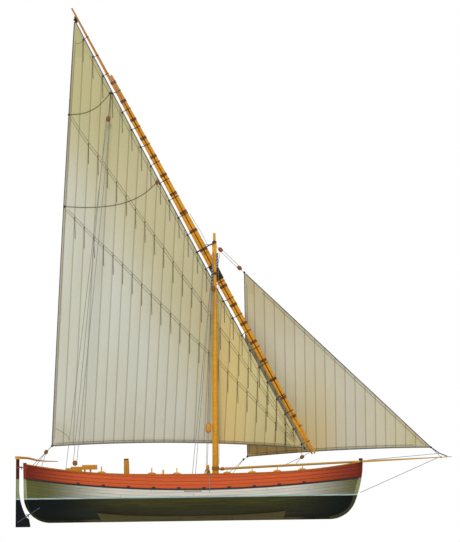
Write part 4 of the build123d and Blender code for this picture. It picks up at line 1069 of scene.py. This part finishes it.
# x and z of places along each band, from the leech to the tack.
REEF_BANDS = [
    [
        (-4.655, 15.247), (-4.355, 14.759), (-3.981, 14.19), (-3.58, 13.664), (-3.192, 13.095),
        (-2.843, 12.602), (-2.459, 12.024), (-2.063, 11.439), (-1.709, 10.95), (-1.321, 10.36),
        (-0.948, 9.859), (-0.596, 9.31), (-0.219, 8.753), (0.146, 8.252), (0.495, 7.735),
        (1.22, 6.66), (1.942, 5.61), (2.679, 4.536), (3.376, 3.466), (4.05, 2.397),
    ],
    [
        (-4.881, 11.562), (-4.562, 11.221), (-3.817, 10.439), (-3.039, 9.692), (-2.254, 8.885),
        (-1.489, 8.058), (-0.74, 7.292), (-0.007, 6.469), (0.388, 6.088), (1.123, 5.398),
        (1.863, 4.551), (2.62, 3.757), (3.337, 2.947), (4.0, 2.249),
    ],
]
# Corners of the cloth are doubled. Each row is the edge of one patch, as places along it.
PATCHES = [
    [(-5.454, 2.812), (-5.22, 2.693), (-5.006, 2.538), (-4.916, 2.384), (-4.906, 2.24)],
    [(-4.402, 18.192), (-4.269, 18.218), (-4.141, 18.277)],
    [(3.82, 2.54), (4.007, 2.197)],
    [(3.924, 2.57), (4.072, 2.288)],
    [(3.689, 2.342), (3.948, 1.978)],
]
# Robands stand a little wider apart towards the peak. These are their distances from the foot.
ROBANDS = [0.557 + 0.697 * i + 0.00296 * i**2 for i in range(25)]


def on_main(x, z, off):
    """A point on the mainsail, off it to port (+) or starboard (-)."""
    return Vector((x, main_belly.y(x, z) + off, z))


def along_line(corners, x):
    """Height of a broken line at x."""
    for (xa, za), (xb, zb) in zip(corners, corners[1:]):
        if xa <= x <= xb + 0.0001:
            return za + (zb - za) * (x - xa) / (xb - xa)
    return None


def hanging(x, z, long, off, drift=0.0):
    """A reef point: it hangs down the sail from a place, and may drift sideways."""
    return [on_main(x + drift * k / 4, z - long * k / 4, off) for k in range(5)]


def knot(shape, place, radius, rounds=2):
    """Adds a knot to a mesh, as a small ball."""
    place = Matrix.Translation(place)
    bmesh.ops.create_icosphere(shape, subdivisions=rounds, radius=radius, matrix=place)


# %% Reef bands and patches
band_runs = []
for band in REEF_BANDS:
    steps = [band[0][0] + (band[-1][0] - band[0][0]) * i / 50 for i in range(51)]
    for off in (-SAIL_OFF * 0.5, SAIL_OFF * 0.5):
        for side in (-0.5, 0.5):
            dx, dz = 0.80 * BAND_WIDE * side, 0.60 * BAND_WIDE * side
            band_runs.append([on_main(x + dx, along_line(band, x) + dz, off) for x in steps])
for patch in PATCHES:
    for off in (-SAIL_OFF * 0.5, SAIL_OFF * 0.5):
        band_runs.append([on_main(x, z, off) for x, z in patch])
reef_bands = rope("reef_band_seams", band_runs, 0.011, brail_hemp, "yard", sides=1)
print(len(REEF_BANDS), "bands,", len(PATCHES), "patch edges")

# %% Reef points
chance = random.Random(7)
point_runs, knots = [], bmesh.new()
for band in REEF_BANDS:
    for count in range(24):
        # The seam leans, so a few rounds find where it crosses the band.
        x = SEAM_FIRST + SEAM_PITCH * count
        for _ in range(6):
            z = along_line(band, x)
            x = SEAM_FIRST + SEAM_PITCH * count + SEAM_LEAN * (z or 8.0)
        if z is not None and x < band[-1][0] - 0.25:
            long = chance.uniform(0.76, 0.86)
            for off in (-SAIL_OFF, SAIL_OFF):
                point_runs.append(hanging(x, z, long, off, chance.uniform(-0.015, 0.015)))
                knot(knots, point_runs[-1][0], 0.024, 1)
for along in ROBANDS:
    root = YARD_FOOT + yard_up * along
    long = chance.uniform(0.84, 0.95) if along > 2.0 else 0.5
    for off in (-SAIL_OFF, SAIL_OFF):
        point_runs.append(hanging(root.x - 0.21, root.z - 0.1, long, off))
reef_points = rope("reef_points", point_runs, 0.020, brail_hemp, "yard", sides=1)
reef_knots = make_piece("reef_knots", knots, black_hemp, "yard")
print(len(point_runs), "reef points")

# %% [markdown]
# Robands tie the luff to the yard. Each goes round both spars and through an eyelet in the luff,
# where its knot shows dark against the cloth.

# %% Robands
luff_run = [Vector(place) for place in edge_run(main_flat, main_belly, "luff", 200)]
roband_loops, roband_ties = [], []
luff_knots, hull_knots = bmesh.new(), bmesh.new()
for along in ROBANDS:
    root = YARD_FOOT + yard_up * along
    eyelet = min(luff_run, key=lambda place: abs((place - root).dot(yard_up)))
    nearest = min(axis - radius for axis, radius in spars_at(along))
    roband_loops.append(round_spars(along, 0.014, 20))
    roband_ties.append([root + yard_out * (nearest - 0.006), eyelet - yard_out * 0.05])
    knot(luff_knots, eyelet - yard_out * 0.03, 0.040)
rope("roband_loops", roband_loops, 0.028, black_hemp, "yard", closed=True, sides=1)
roband_tails = rope("roband_ties", roband_ties, 0.030, black_hemp, "yard", sides=1)
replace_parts(roband_tails, "robands")
print(len(roband_loops), "robands")

# %% [markdown]
# Blocks are the pulleys of a sailing boat. A block of this time is a pair of oval elm cheeks with a
# sheave between them, on a pin, and a strop of rope round the outside that holds it. One is a few
# short cylinders: drawn out to an oval, rounded with a bevel, and turned to face along its rope.


# %% Block maker
def block_into(shape, strops, centre, along, length, slim=0.74):
    """Adds one block to a mesh, and its strop to a list of rope loops. The axle points sideways."""
    up = Vector(along).normalized()
    axle = (port - up * port.dot(up)).normalized()
    place = Matrix.Translation(centre) @ Matrix((up.cross(axle), up, axle)).transposed().to_4x4()
    half, cheek = length / 2, length * 0.13
    block = bmesh.new()
    for sign in (-1, 1):
        lift = Matrix.Translation((0, 0, sign * length * 0.17))
        bmesh.ops.create_cone(
            block, cap_ends=True, segments=20, radius1=half, radius2=half, depth=cheek, matrix=lift
        )
    bmesh.ops.scale(block, vec=(slim, 1.0, 1.0), verts=block.verts)
    rims = [edge for edge in block.edges if max(len(face.verts) for face in edge.link_faces) > 4]
    bmesh.ops.bevel(
        block, geom=rims, offset=cheek * 0.3, affect="EDGES", segments=2, profile=0.5, material=-1
    )
    for radius, depth in ((half * 0.62, length * 0.19), (half * 0.14, length * 0.56)):
        bmesh.ops.create_cone(
            block, cap_ends=True, segments=16, radius1=radius, radius2=radius, depth=depth
        )
    bmesh.ops.transform(block, matrix=place, verts=block.verts)
    finished = bpy.data.meshes.new("block")
    block.to_mesh(finished)
    block.free()
    shape.from_mesh(finished)
    bpy.data.meshes.remove(finished)
    angles = [2 * math.pi * i / 20 for i in range(20)]
    oval = [Vector((half * (slim + 0.06) * math.cos(a), half * 1.06 * math.sin(a), 0.0)) for a in angles]
    strops.append([place @ point for point in oval])


def rail_point(x, side):
    """Point on top of the cap rail: side is 1 to port and -1 to starboard."""
    top = sheer_at(RAIL_LINE, x) + CAP_ABOVE
    return Vector((x, side * (half_breadth(x, top) - 0.03), top))


def straight(*places):
    """A route as plain points."""
    return [Vector(place) for place in places]


# %% [markdown]
# The vang holds the middle of the yard back. It hangs from the yard as a short pendant with a block.
# Two parts of rope run from there to a block at the starboard rail, and a third to the rail itself.
# Blocks ride on the yard or on the hull. The ropes between them ride on neither.

# %% Vang
TACKLE_ROPE, THIN_ROPE = 0.022, 0.018
yard_blocks, hull_blocks = bmesh.new(), bmesh.new()
yard_strops, hull_strops = [], []
vang_top = Vector((-3.060, YARD_Y - 0.09, 16.150))
vang_rail = rail_point(-4.705, -1) + Vector((0, 0, 0.03))
vang_run = vang_rail - vang_top
vang_upper = vang_top + vang_run * 0.066
vang_lower = vang_rail - vang_run * 0.018
block_into(yard_blocks, yard_strops, vang_upper, vang_run, 0.20)
block_into(hull_blocks, hull_strops, vang_lower, vang_run, 0.19, slim=0.9)
pendant = [straight(vang_top + port * off, vang_upper + port * off * 0.3) for off in (-0.05, 0.05)]
rope("vang_pendant", pendant, TACKLE_ROPE, brail_hemp, "yard")
spread = Vector((0.085, 0.0, 0.0))
vang_parts = [straight(vang_upper + spread * k, vang_lower + spread * k * 0.8) for k in (-1, 1)]
vang_parts.append(straight(vang_upper - spread * 0.4, vang_rail + Vector((-0.342, 0.02, 0.0))))
vang = rope("vang", vang_parts, TACKLE_ROPE, grey_hemp)
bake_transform(vang)
print("vang", round(vang_run.length, 1), "m")

# %% [markdown]
# The main sheet works the free corner of the mainsail, its clew, from the rail by the helmsman. The
# tack tackle does the same for the foot of the yard, from the bowsprit.

# %% Main sheet and tack tackle
BOWSPRIT_Y = -0.125
clew = Vector((MAIN_CLEW[0], MAIN_CLEW_Y, MAIN_CLEW[1]))
sheet_block = Vector((-5.839, 0.480, 1.873))
block_into(yard_blocks, yard_strops, sheet_block, (-0.35, -0.1, -0.75), 0.17)
rope("sheet_pendant", [straight(clew, (-5.725, 0.49, 1.991), sheet_block)], 0.026, grey_hemp, "yard")
sheet_feet = [rail_point(x, 1) for x in (-6.366, -6.246, -6.026)]
main_sheet = rope(
    "main_sheet", [straight(sheet_block, foot) for foot in sheet_feet], TACKLE_ROPE, grey_hemp
)
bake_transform(main_sheet)

tack_block = Vector((4.398, 0.140, 1.531))
block_into(yard_blocks, yard_strops, tack_block, (0.5, 0.1, 0.3), 0.17)
rope("tack_strop", [straight((4.760, YARD_Y, 1.750), tack_block)], TACKLE_ROPE, grey_hemp, "yard")
on_bowsprit = straight((3.753, BOWSPRIT_Y, 1.245), (4.154, BOWSPRIT_Y, 1.262))
tack_tackle = rope(
    "tack_tackle", [straight(tack_block, place) for place in on_bowsprit], TACKLE_ROPE, grey_hemp
)
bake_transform(tack_tackle)
print("main sheet to", [round(foot.y, 2) for foot in sheet_feet])

# %% [markdown]
# The halyard hoists the yard. Its tie runs from the yard up over the sheave in the masthead, down
# the starboard side of the mast to a block, and from there a tackle of three parts goes to a second
# block above the deck. The end is made fast round the bitts abaft the mast, where its coil hangs.

# %% Halyard
HALYARD_Y = -0.160
TIE_ROPE = 0.030
sheave = mast_at(9.865) + Vector((0.0, 0.0, 0.08))
halyard_upper, halyard_lower = straight((0.943, HALYARD_Y, 8.316), (0.674, HALYARD_Y, 2.743))
halyard_pull = halyard_upper - halyard_lower
block_into(hull_blocks, hull_strops, halyard_upper, halyard_pull, 0.20)
over_sheave = straight(sheave + Vector((-0.03, -0.02, 0)), (0.965, -0.11, 9.6), halyard_upper)
rope("halyard_tie", [over_sheave], TIE_ROPE, grey_hemp, "hull")
tie_root = YARD_FOOT + yard_up * 8.75 - port * 0.02
tie_parts = [straight(sheave, tie_root), straight((1.016, 0.05, 10.08), (0.449, 0.215, 10.07))]
yard_tie = rope("yard_tie", tie_parts, TIE_ROPE, grey_hemp)
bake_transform(yard_tie)
gap = Vector((0.030, 0.0, 0.0))
halyard_parts = [straight(halyard_upper + gap * k, halyard_lower + gap * k) for k in (-1.4, 0.0, 1.4)]
halyard_parts.append(straight(halyard_lower, (0.600, HALYARD_Y, 1.07)))
halyard_parts.append(straight(halyard_upper - gap * 3, (0.560, HALYARD_Y - 0.06, 1.07)))
rope("halyard", halyard_parts, THIN_ROPE, grey_hemp, "hull")
yellow_block, yellow_strops = bmesh.new(), []
block_into(yellow_block, yellow_strops, halyard_lower, halyard_pull, 0.38, slim=0.5)
print("halyard tackle", round(halyard_pull.length, 1), "m")


# %% Hanks of rope
def coil(centre, wide, tall, turns, drift, seed):
    """Route of a hank of rope hung over a pin: loops that lie side by side and a little uneven."""
    uneven = random.Random(seed)
    places = []
    for i in range(turns * 16 + 1):
        angle = 2 * math.pi * i / 16 + math.pi / 2
        grow = 1.0 + uneven.uniform(-0.05, 0.05)
        side = Vector((math.cos(angle) * wide * grow / 2, drift * i / (turns * 16), 0.0))
        places.append(Vector(centre) + side + Vector((0, 0, (math.sin(angle) - 1) * tall * grow / 2)))
    return places


# Columns: top of the hank, width, height, turns, drift, seed.
HANKS = [
    ((0.600, -0.335, 1.120), 0.22, 0.46, 7, -0.10, 1),
    ((0.620, 0.250, 1.120), 0.20, 0.42, 6, 0.09, 2),
]
rope("rope_hanks", [coil(*hank) for hank in HANKS], 0.020, fair_hemp, "hull", smooth=True)
print(len(HANKS), "hanks")

# %% [markdown]
# Standing lines: the weather shroud is a pair of ropes from the masthead to the starboard rail, and
# the bobstay holds the bowsprit down to the stem. A rope's end hangs over the starboard side from
# under the rail. The rope that holds the yard to the mast ends in two strands wound round each other.

# %% Shroud, bobstay and the rope over the side
shroud_top = (0.925, -0.085, 9.345)
shroud_runs = [straight(shroud_top, rail_point(x, -1)) for x in (0.008, 0.132)]
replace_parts(rope("weather_shrouds", shroud_runs, 0.024, grey_hemp, "hull"), "shroud")
# Columns: x, height, how far off the planking.
FALL = [(0.680, 0.865, 0.012), (0.682, 0.62, 0.014), (0.684, 0.46, 0.046), (0.686, 0.38, 0.046),
        (0.690, 0.195, 0.030)]
fall = straight(*[(x, -half_breadth(x, z) - off, z) for x, z, off in FALL])
rope("fall_over_side", [fall], 0.018, wet_hemp, "hull")
bobstay_run = straight((9.815, BOWSPRIT_Y, 1.425), (6.700, -0.02, 0.075))
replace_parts(rope("bobstay_rope", [bobstay_run], 0.026, wet_hemp, "hull"), "bobstay")
print("shroud", round((shroud_runs[0][0] - shroud_runs[0][1]).length, 1), "m")


# %% Ends of the parrel's rope
def twisted(start, end, radius, turns, phase):
    """One strand of two that wind round each other between two places."""
    start, end = straight(start, end)
    line = (end - start).normalized()
    side = line.cross(port).normalized()
    run = []
    for i in range(12 * turns + 1):
        angle = 2 * math.pi * i / 12 + phase
        away = side * math.cos(angle) + line.cross(side) * math.sin(angle)
        run.append(start + (end - start) * i / (12 * turns) + away * radius)
    return run


# Columns: upper end, lower end.
PARREL_ENDS = [
    ((1.122, -0.20, 9.73), (1.119, -0.20, 9.158)),
    ((0.937, -0.22, 9.041), (0.852, -0.22, 8.402)),
]
for name, phase, finish in (("dark", 0.0, black_hemp), ("pale", math.pi, wet_hemp)):
    strands = [twisted(*ends, 0.028, 5, phase) for ends in PARREL_ENDS]
    rope("parrel_ends_" + name, strands, 0.034, finish, "yard")
print(len(PARREL_ENDS), "twisted ends")

# %% Lines at the masthead
# A lashing from the masthead steadies the yard, and a light line runs from there along it.
LASHING_PLACES = [(0.996, 10.124), (0.771, 10.031), (0.512, 9.883), (0.254, 9.742)]
LINE_PLACES = [(0.932, 10.133), (0.739, 10.048), (0.615, 10.337), (0.037, 11.346)]
yard_lashing = [straight(*[(x, y, z) for x, z in LASHING_PLACES]) for y in (-0.165, -0.130)]
rope("yard_lashing", yard_lashing, 0.040, black_hemp, "yard")
light_line = straight(*[(x, -0.05, z) for x, z in LINE_PLACES])
rope("light_line_along_yard", [light_line], 0.020, wet_hemp, "yard")
print(len(yard_lashing), "parts in the lashing")

# %% [markdown]
# The jib's halyard is a tackle from the masthead to its head, and its sheet runs from its free
# corner to the port rail. A short pendant holds its tack to the bowsprit's end, and the outhaul,
# which hauls it out there, lies along the bowsprit.

# %% The jib's lines
jib_head, jib_tack, jib_clew, jib_upper, jib_lower, sheet_turn, tack_ring = straight(
    (JIB_HEAD[0], JIB_Y, JIB_HEAD[1]),
    (JIB_TACK[0], JIB_Y, JIB_TACK[1]),
    (JIB_CLEW[0], JIB_CLEW_Y, JIB_CLEW[1]),
    (1.252, JIB_Y, 9.868),
    (2.002, JIB_Y, 9.125),
    (2.060, 1.420, 1.470),
    (9.903, -0.09, 1.603),
)
jib_pull = jib_upper - jib_lower
block_into(hull_blocks, hull_strops, jib_upper, jib_pull, 0.19)
block_into(hull_blocks, hull_strops, jib_lower, jib_pull, 0.19)
apart = Vector((jib_pull.z, 0.0, -jib_pull.x)).normalized() * 0.045
jib_hoist = [
    straight(jib_head, jib_lower),
    straight(jib_lower + apart, jib_upper + apart),
    straight(jib_lower - apart, jib_upper - apart),
    straight(jib_upper, (1.060, -0.050, 10.020)),
    straight(jib_upper, (1.150, -0.070, 9.300), (1.080, -0.130, 1.300)),
]
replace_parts(rope("jib_halyard_tackle", jib_hoist, THIN_ROPE, grey_hemp, "hull"), "jib_halyard")
jib_sheet = [straight(jib_clew, sheet_turn, rail_point(1.45, 1)), straight(sheet_turn, rail_point(1.62, 1))]
rope("jib_sheet", jib_sheet, THIN_ROPE, grey_hemp, "hull")
outhaul = straight(tack_ring, (7.020, BOWSPRIT_Y, 1.372))
rope("jib_outhaul", [outhaul], 0.024, wet_hemp, "hull")
tack_pendant = straight(jib_tack, tack_ring, (10.206, BOWSPRIT_Y, 1.478))
rope("jib_tack_pendant", [tack_pendant], 0.040, black_hemp, "hull")
print(len(jib_hoist), "parts in the jib's halyard")

# %% [markdown]
# Brails lie on the starboard face of the mainsail. Hauled from the yard, they gather the cloth, and
# at rest they hang in slack curves from the leech to the yard. The sail's head is lashed to the
# yard with a fan of turns.

# %% Brails and head lashing
# x and z of places along each brail, from the leech to the yard.
BRAILS = [
    [
        (-4.749, 15.364), (-4.297, 15.374), (-3.947, 15.469), (-3.629, 15.629), (-3.427, 15.81),
        (-3.228, 16.024), (-3.073, 16.201),
    ],
    [
        (-4.98, 11.695), (-4.564, 11.661), (-4.148, 11.639), (-3.584, 11.648), (-3.119, 11.693),
        (-2.686, 11.767), (-2.288, 11.894), (-1.954, 12.041), (-1.619, 12.269), (-1.417, 12.446),
        (-1.25, 12.612),
    ],
]
HEAD_FAN = [(-4.463, 19.281), (-4.425, 19.145)]
HEAD_LOW = (MAIN_HEAD[0] + 0.02, MAIN_HEAD[1] - 0.13)
head_runs = []
for i in range(5):
    for x, z in HEAD_FAN:
        low = on_main(HEAD_LOW[0] + 0.022 * i, HEAD_LOW[1], 0.0)
        head_runs.append([low, Vector((x + 0.02 * i, YARD_Y, z))])
rope("head_lashing", head_runs, 0.030, black_hemp, "yard")
brail_runs = [[on_main(x, z, -SAIL_OFF) for x, z in route] for route in BRAILS]
rope("brails", brail_runs, 0.022, brail_hemp, "yard", smooth=True)
for x, z in (BRAILS[0][0], BRAILS[1][0], BRAILS[0][-1], MAIN_CLEW, MAIN_HEAD, MAIN_TACK):
    knot(luff_knots, on_main(x, z, -0.02), 0.045)
block_into(yard_blocks, yard_strops, on_main(*BRAILS[1][-1], -0.05), (0.7, 0.0, 0.7), 0.14)
for place in (jib_clew, jib_tack, sheet_turn, jib_head):
    knot(hull_knots, place, 0.045)
print(len(BRAILS), "brails,", len(head_runs), "turns at the head")

# %% [markdown]
# Lashings of new rope hold the bowsprit's heel to the mast, and a few turns more go round the mast
# above it. Their light colour is the reason why they show so well in the photograph.

# %% Lashings at the mast's foot
LASHING = 0.024
# x and z of the bowsprit's heel, and how much the bowsprit rises for each metre forward of it.
HEEL = (1.075, 1.098)
BOWSPRIT_RISE = 0.0391
HEEL_TURN_RADIUS = 0.060


def turns_down(height, radius, count):
    """Closed turns of rope round the mast, one under the other from a height."""
    return [mast_ring(height - LASHING * k, radius, 20) for k in range(count)]


heel_turns = []
for k in range(5):
    x = 1.16 + LASHING * k
    z = HEEL[1] + (x - HEEL[0]) * BOWSPRIT_RISE
    angles = [2 * math.pi * i / 16 for i in range(16)]
    heel_turns.append(
        [Vector((x, BOWSPRIT_Y + HEEL_TURN_RADIUS * math.cos(a), z + HEEL_TURN_RADIUS * math.sin(a)))
         for a in angles]
    )
foot_turns = turns_down(1.19, 0.144, 6) + turns_down(0.93, 0.146, 4) + heel_turns
lashings = rope("mast_foot_lashings", foot_turns, LASHING, fair_hemp, "hull", closed=True, sides=1)
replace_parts(lashings, "heel_strop")
print(len(foot_turns), "turns at the mast's foot")

# %% Blocks and knots as pieces
# Columns: name, shape, finish, body, slot.
SMALL_PIECES = [
    ("blocks_on_hull", hull_blocks, block_elm, "hull", "trim_wood"),
    ("blocks_on_yard", yard_blocks, block_elm, "yard", "trim_wood"),
    ("lower_halyard_block", yellow_block, trim_oak, "hull", "trim_wood"),
    ("knots_on_luff", luff_knots, black_hemp, "yard", "rope"),
    ("knots_on_jib", hull_knots, black_hemp, "hull", "rope"),
]
for name, shape, finish, body, slot in SMALL_PIECES:
    make_piece(name, shape, finish, body)
for body, strops in (("hull", hull_strops + yellow_strops), ("yard", yard_strops)):
    rope("block_strops_" + body, strops, 0.020, brown_hemp, body, closed=True, sides=1)
    print(len(strops), "blocks on the", body)

# %% Colours of the view
bpy.context.scene.view_settings.view_transform = "Standard"
